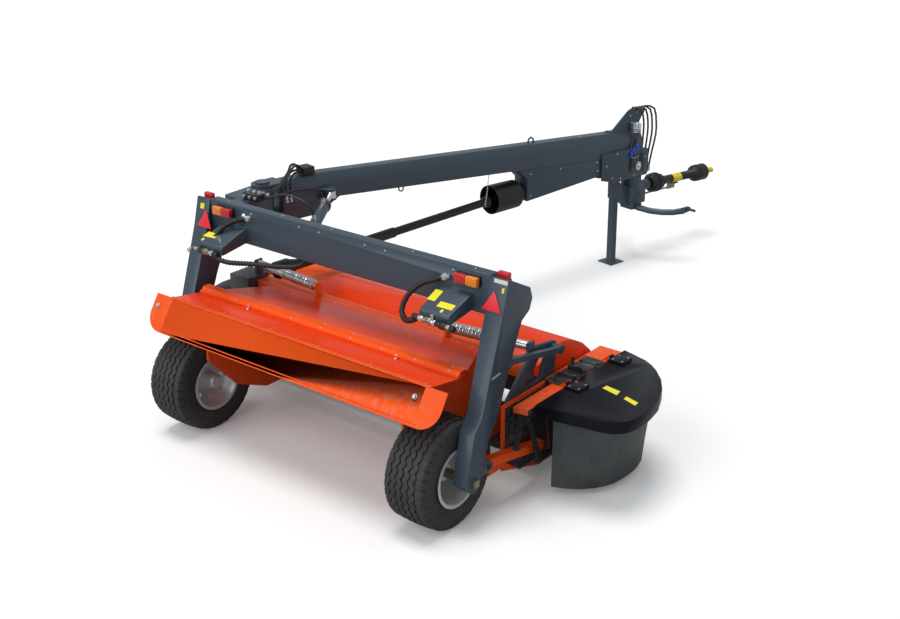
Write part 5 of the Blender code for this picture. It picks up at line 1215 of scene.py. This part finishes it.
def fasten_the_carrier():
    rows = [(at(x, 0.0, 1.690), (0, -1, 0)) for x in (-0.902, -0.396, -0.195, 0.249, 0.439, 1.042)]
    rows += [(at(x, 0.040, BEAM_TOP), UP) for x in (-1.18, -0.60, -0.10, 0.66, 1.20)]
    bolts("beam_bolts", rows, 0.0085, "carrier")


def fasten_the_hood():
    rows = [(at(x, 0.338, 0.9850), (0, 0.1, 1))
            for x in (-0.930, -0.697, -0.393, -0.094, 0.208, 0.498, 0.802, 0.940)]
    bolts("hood_seam_bolts", rows, 0.0080, "header")
    rows = []
    for i in range(9):
        x = -1.18 + 2.36 * i / 8
        rows += [(at(x, -0.180, 1.0860), UP), (at(x, -0.2275, 1.0700), (0, -1, 1))]
    rows += [(at(-1.20 + 2.40 * i / 5, -0.486, 1.0860), (0, -0.15, 1)) for i in range(6)]
    bolts("ridge_bolts", rows, 0.0072, "header")
    rows = []
    for y in (-0.05, 0.12, 0.26):
        edge = 1.262 - 0.27 * max(0.0, y + 0.18) / 0.535
        rows += [(at(side * (edge - 0.018), y, hood_top(y) + 0.0004), (0, 0.1, 1)) for side in (-1, 1)]
    bolts("hood_side_bolts", rows, 0.0068, "header")


def fasten_the_drawbar():
    rows = []
    for s in (2.223, 2.443, 3.254, 3.62, 0.86, 1.42):
        rows += [(along(x, s, 1.725 - 0.078 * s), (0, 0.078, 1)) for x in (-0.030, 0.030)]
    bolts("drawbar_bolts", rows, 0.0080, "drawbar")
    out = along(1, 0, 0) - along(0, 0, 0)
    rows = []
    for side in (-1, 1):
        for s, z in ((2.905, 1.215), (2.905, 1.000), (3.810, 1.160), (3.825, 1.070), (3.30, 1.195)):
            rows.append((along(side * 0.0902, s, z), out * side))
        for s, z in ((3.93, 1.10), (4.02, 0.96), (4.14, 0.935), (4.34, 0.935), (4.50, 1.10), (4.30, 1.20),
                     (4.08, 1.20)):
            rows.append((along(side * 0.1073, s, z), out * side))
    rows += [(along(0.0422, s, z), out) for s, z in ((4.32, 1.54), (4.33, 1.47), (4.42, 1.57))]
    bolts("head_bolts", rows, 0.0095, "drawbar")


def fasten_the_sides():
    rows = [(at(x, y + across, 0.7812), UP)
            for y in (0.620, 1.190) for x in (1.612, 1.690) for across in (-0.042, 0.042)]
    bolts("hinge_bolts", rows, 0.0080, "cover_right")
    rows = [(at(1.3902, y, z), (1, 0, 0))
            for y, z in ((0.150, 0.300), (0.620, 0.180), (0.700, 0.340), (1.250, 0.380))]
    bolts("side_bolts", rows, 0.0095, "header")
    nuts = [(at(side * 1.5003, -0.200, 0.450), (side, 0, 0)) for side in (-1, 1)]
    bolts("leg_pin_nuts", nuts, 0.026, "carrier", BLACK_STEEL)
    for side, word in ((1, "right"), (-1, "left")):
        end = barrel(at(side * 1.4995, WHEEL_LINE, 0.390), at(side * 1.5100, WHEEL_LINE, 0.390), 0.020, 6,
                     0.001)
        settle(end, "axle_end_" + word, ZINC, "carrier", 32)


def board_face(z):
    """How far forward the rear board's face lies at a height."""
    return -0.530 - (1.095 - z) * 0.6596


def make_clips():
    """The two spring pins with their rings on the ridge, and the board's pins at its ends."""
    for name, x in (("right", 0.740), ("left", -0.720)):
        top = at(x, -0.2530, 1.0640)
        ring = [top + Vector((0.015 * cos(2 * pi * k / 16), -0.004, 0.015 * sin(2 * pi * k / 16)))
                for k in range(16)]
        parts = [route(ring, 0.0026, 2, closed=True, soft=False),
                 barrel(top + Vector((0, 0.030, -0.010)), top + Vector((0, -0.016, -0.018)), 0.0075, 14,
                        0.001)]
        low = top + Vector((0, -0.006, -0.012))
        parts.append(route([low, low + Vector((-0.006, -0.004, -0.030)),
                            low + Vector((0.006, -0.004, -0.050)),
                            low + Vector((-0.004, -0.004, -0.066)),
                            low + Vector((0.002, -0.002, -0.082))], 0.0021, 2))
        loop = low + Vector((0.002, -0.002, -0.094))
        parts.append(route([loop + Vector((0.011 * cos(2 * pi * k / 14), 0, 0.011 * sin(2 * pi * k / 14)))
                            for k in range(14)], 0.0021, 2, closed=True, soft=False))
        settle(join(*parts), "spring_pin_" + name, BRIGHT, "header", 60)
    normal = Vector((0, -0.835, 0.551))
    across = Vector((1, 0, 0))
    up = normal.cross(across)
    for name, x in (("right", 1.185), ("left", -1.362)):
        place = at(x, board_face(1.020), 1.020) + normal * 0.003
        ring = [place + normal * 0.006 + across * 0.017 * cos(2 * pi * k / 18)
                + up * 0.017 * sin(2 * pi * k / 18)
                for k in range(18)]
        parts = [route(ring, 0.0030, 2, closed=True, soft=False),
                 barrel(place, place + normal * 0.016, 0.010, 16, 0.001)]
        settle(join(*parts), "board_pin_" + name, BRIGHT, "header", 60)
    # The slot beside the left pin
    angles = [radians(-18 - 12 * k) + pi for k in range(6)]
    arc = [place - across * 0.085 * sin(a) * 0.55 + across * 0.02 + up * 0.115 * cos(a) for a in angles]
    settle(route(arc, 0.0022, 2), "board_slot_left", PALE_LABEL, "header", 60)


def fold_the_board():
    """The rolled edges of the rear board and the strip on the hood's ridge."""
    made = []
    for z, out in ((1.0905, 0.0), (0.884, 0.0015), (0.8640, 0.001)):
        y = board_face(z) - out
        made.append(barrel(at(-1.268, y - 0.001, z), at(1.268, y - 0.001, z), 0.0042, 10))
    settle(join(*made), "board_folds", ORANGE, "header", 60)
    strip = join(slab(at(-1.2700, -0.2470, 1.0525), at(1.2700, -0.2440, 1.0665), 0.0008),
                 slab(at(-1.2700, -0.2120, 1.0838), at(1.2700, -0.1495, 1.0860), 0.0008))
    settle(strip, "ridge_strip", ORANGE, "header")


# Blank plates and reflectors

def stick_the_plates():
    plates = [((0.949, -0.166), (0.942, -0.061), (1.006, -0.061), (1.015, -0.167)),
              ((1.059, -0.203), (1.056, -0.151), (1.183, -0.150), (1.186, -0.202)),
              ((1.118, -0.243), (1.114, -0.216), (1.135, -0.216), (1.139, -0.243)),
              ((-1.235, -0.199), (-1.232, -0.140), (-1.132, -0.141), (-1.110, -0.191)),
              ((-1.212, -0.243), (-1.215, -0.217), (-1.192, -0.219), (-1.188, -0.243))]
    for i, corners in enumerate(plates):
        # The console's top falls to the rear
        lifted = [at(x, y, 1.575 + (y - 0.020) * 0.093 / 0.270 + 0.0008) for x, y in corners]
        sticker("console_plate_" + str(i + 1), lifted, LABEL, "carrier")
    plates = [((1.784, 0.734), (1.785, 0.786), (1.911, 0.765), (1.922, 0.700)),
              ((1.991, 0.680), (1.986, 0.724), (2.100, 0.691), (2.105, 0.640))]
    for i, corners in enumerate(plates):
        lifted = [at(x, y, 0.7578) for x, y in corners]
        sticker("cover_plate_" + str(i + 1), lifted, LABEL, "cover_right")
    sticker("leg_reflector", [at(1.386, -0.0102, 1.686), at(1.386, -0.0033, 1.712),
                              at(1.494, -0.0033, 1.712),
                              at(1.494, -0.0102, 1.686)], WHITE_REFLECTOR, "carrier")
    sticker("leg_plate_right", [at(1.459, -0.0245, 1.632), at(1.459, -0.0160, 1.664),
                                at(1.478, -0.0160, 1.664),
                                at(1.478, -0.0245, 1.632)], LABEL, "carrier")
    sticker("leg_plate_left", [at(-1.452, -0.0240, 1.634), at(-1.452, -0.0129, 1.676),
                               at(-1.410, -0.0129, 1.676),
                               at(-1.410, -0.0240, 1.634)], LABEL, "carrier")
    sticker("leg_badge", [at(1.5008, -0.176, 1.076), at(1.5008, -0.176, 1.092), at(1.5008, -0.082, 1.102),
                          at(1.5008, -0.082, 1.086)], PALE_LABEL, "carrier")


def collar_the_shaft():
    """The yellow collar and the ribs on the power shaft's guards."""
    start, end = along(0.0, 4.665, 0.750), along(0.0, 5.720, 0.704)
    way = (end - start).normalized()
    ring = barrel(start + way * 0.385, start + way * 0.520, 0.0465, 28, 0.002)
    settle(ring, "guard_collar", YELLOW, "turret", 32)
    ribs = [barrel(start + way * s, start + way * (s + 0.010), radius, 32, 0.002)
            for s, radius in ((0.100, 0.1025), (0.128, 0.1025), (0.196, 0.079), (0.760, 0.0880),
                              (0.800, 0.0905))]
    settle(join(*ribs), "guard_ribs", PLASTIC, "turret", 32)


dress_the_frame()
place_camera()
light_the_room()
lay_the_floor()
for hand in ("right", "left"):
    make_tyre(hand)
    make_wheel_nuts(hand)
    make_lamps(hand)
    make_marker(hand)
    make_triangle(hand)
    make_spring(hand)
hang_the_skirts()
wrap_the_hoses()
make_couplings()
make_valve_block()
lead_the_pivot_hoses()
lead_the_side_hoses()
lead_the_cylinder_hoses()
make_mast_details()
make_chain()
fasten_the_carrier()
fasten_the_hood()
fasten_the_drawbar()
fasten_the_sides()
make_clips()
fold_the_board()
stick_the_plates()
collar_the_shaft()

bpy.context.scene.view_settings.view_transform = "Standard"
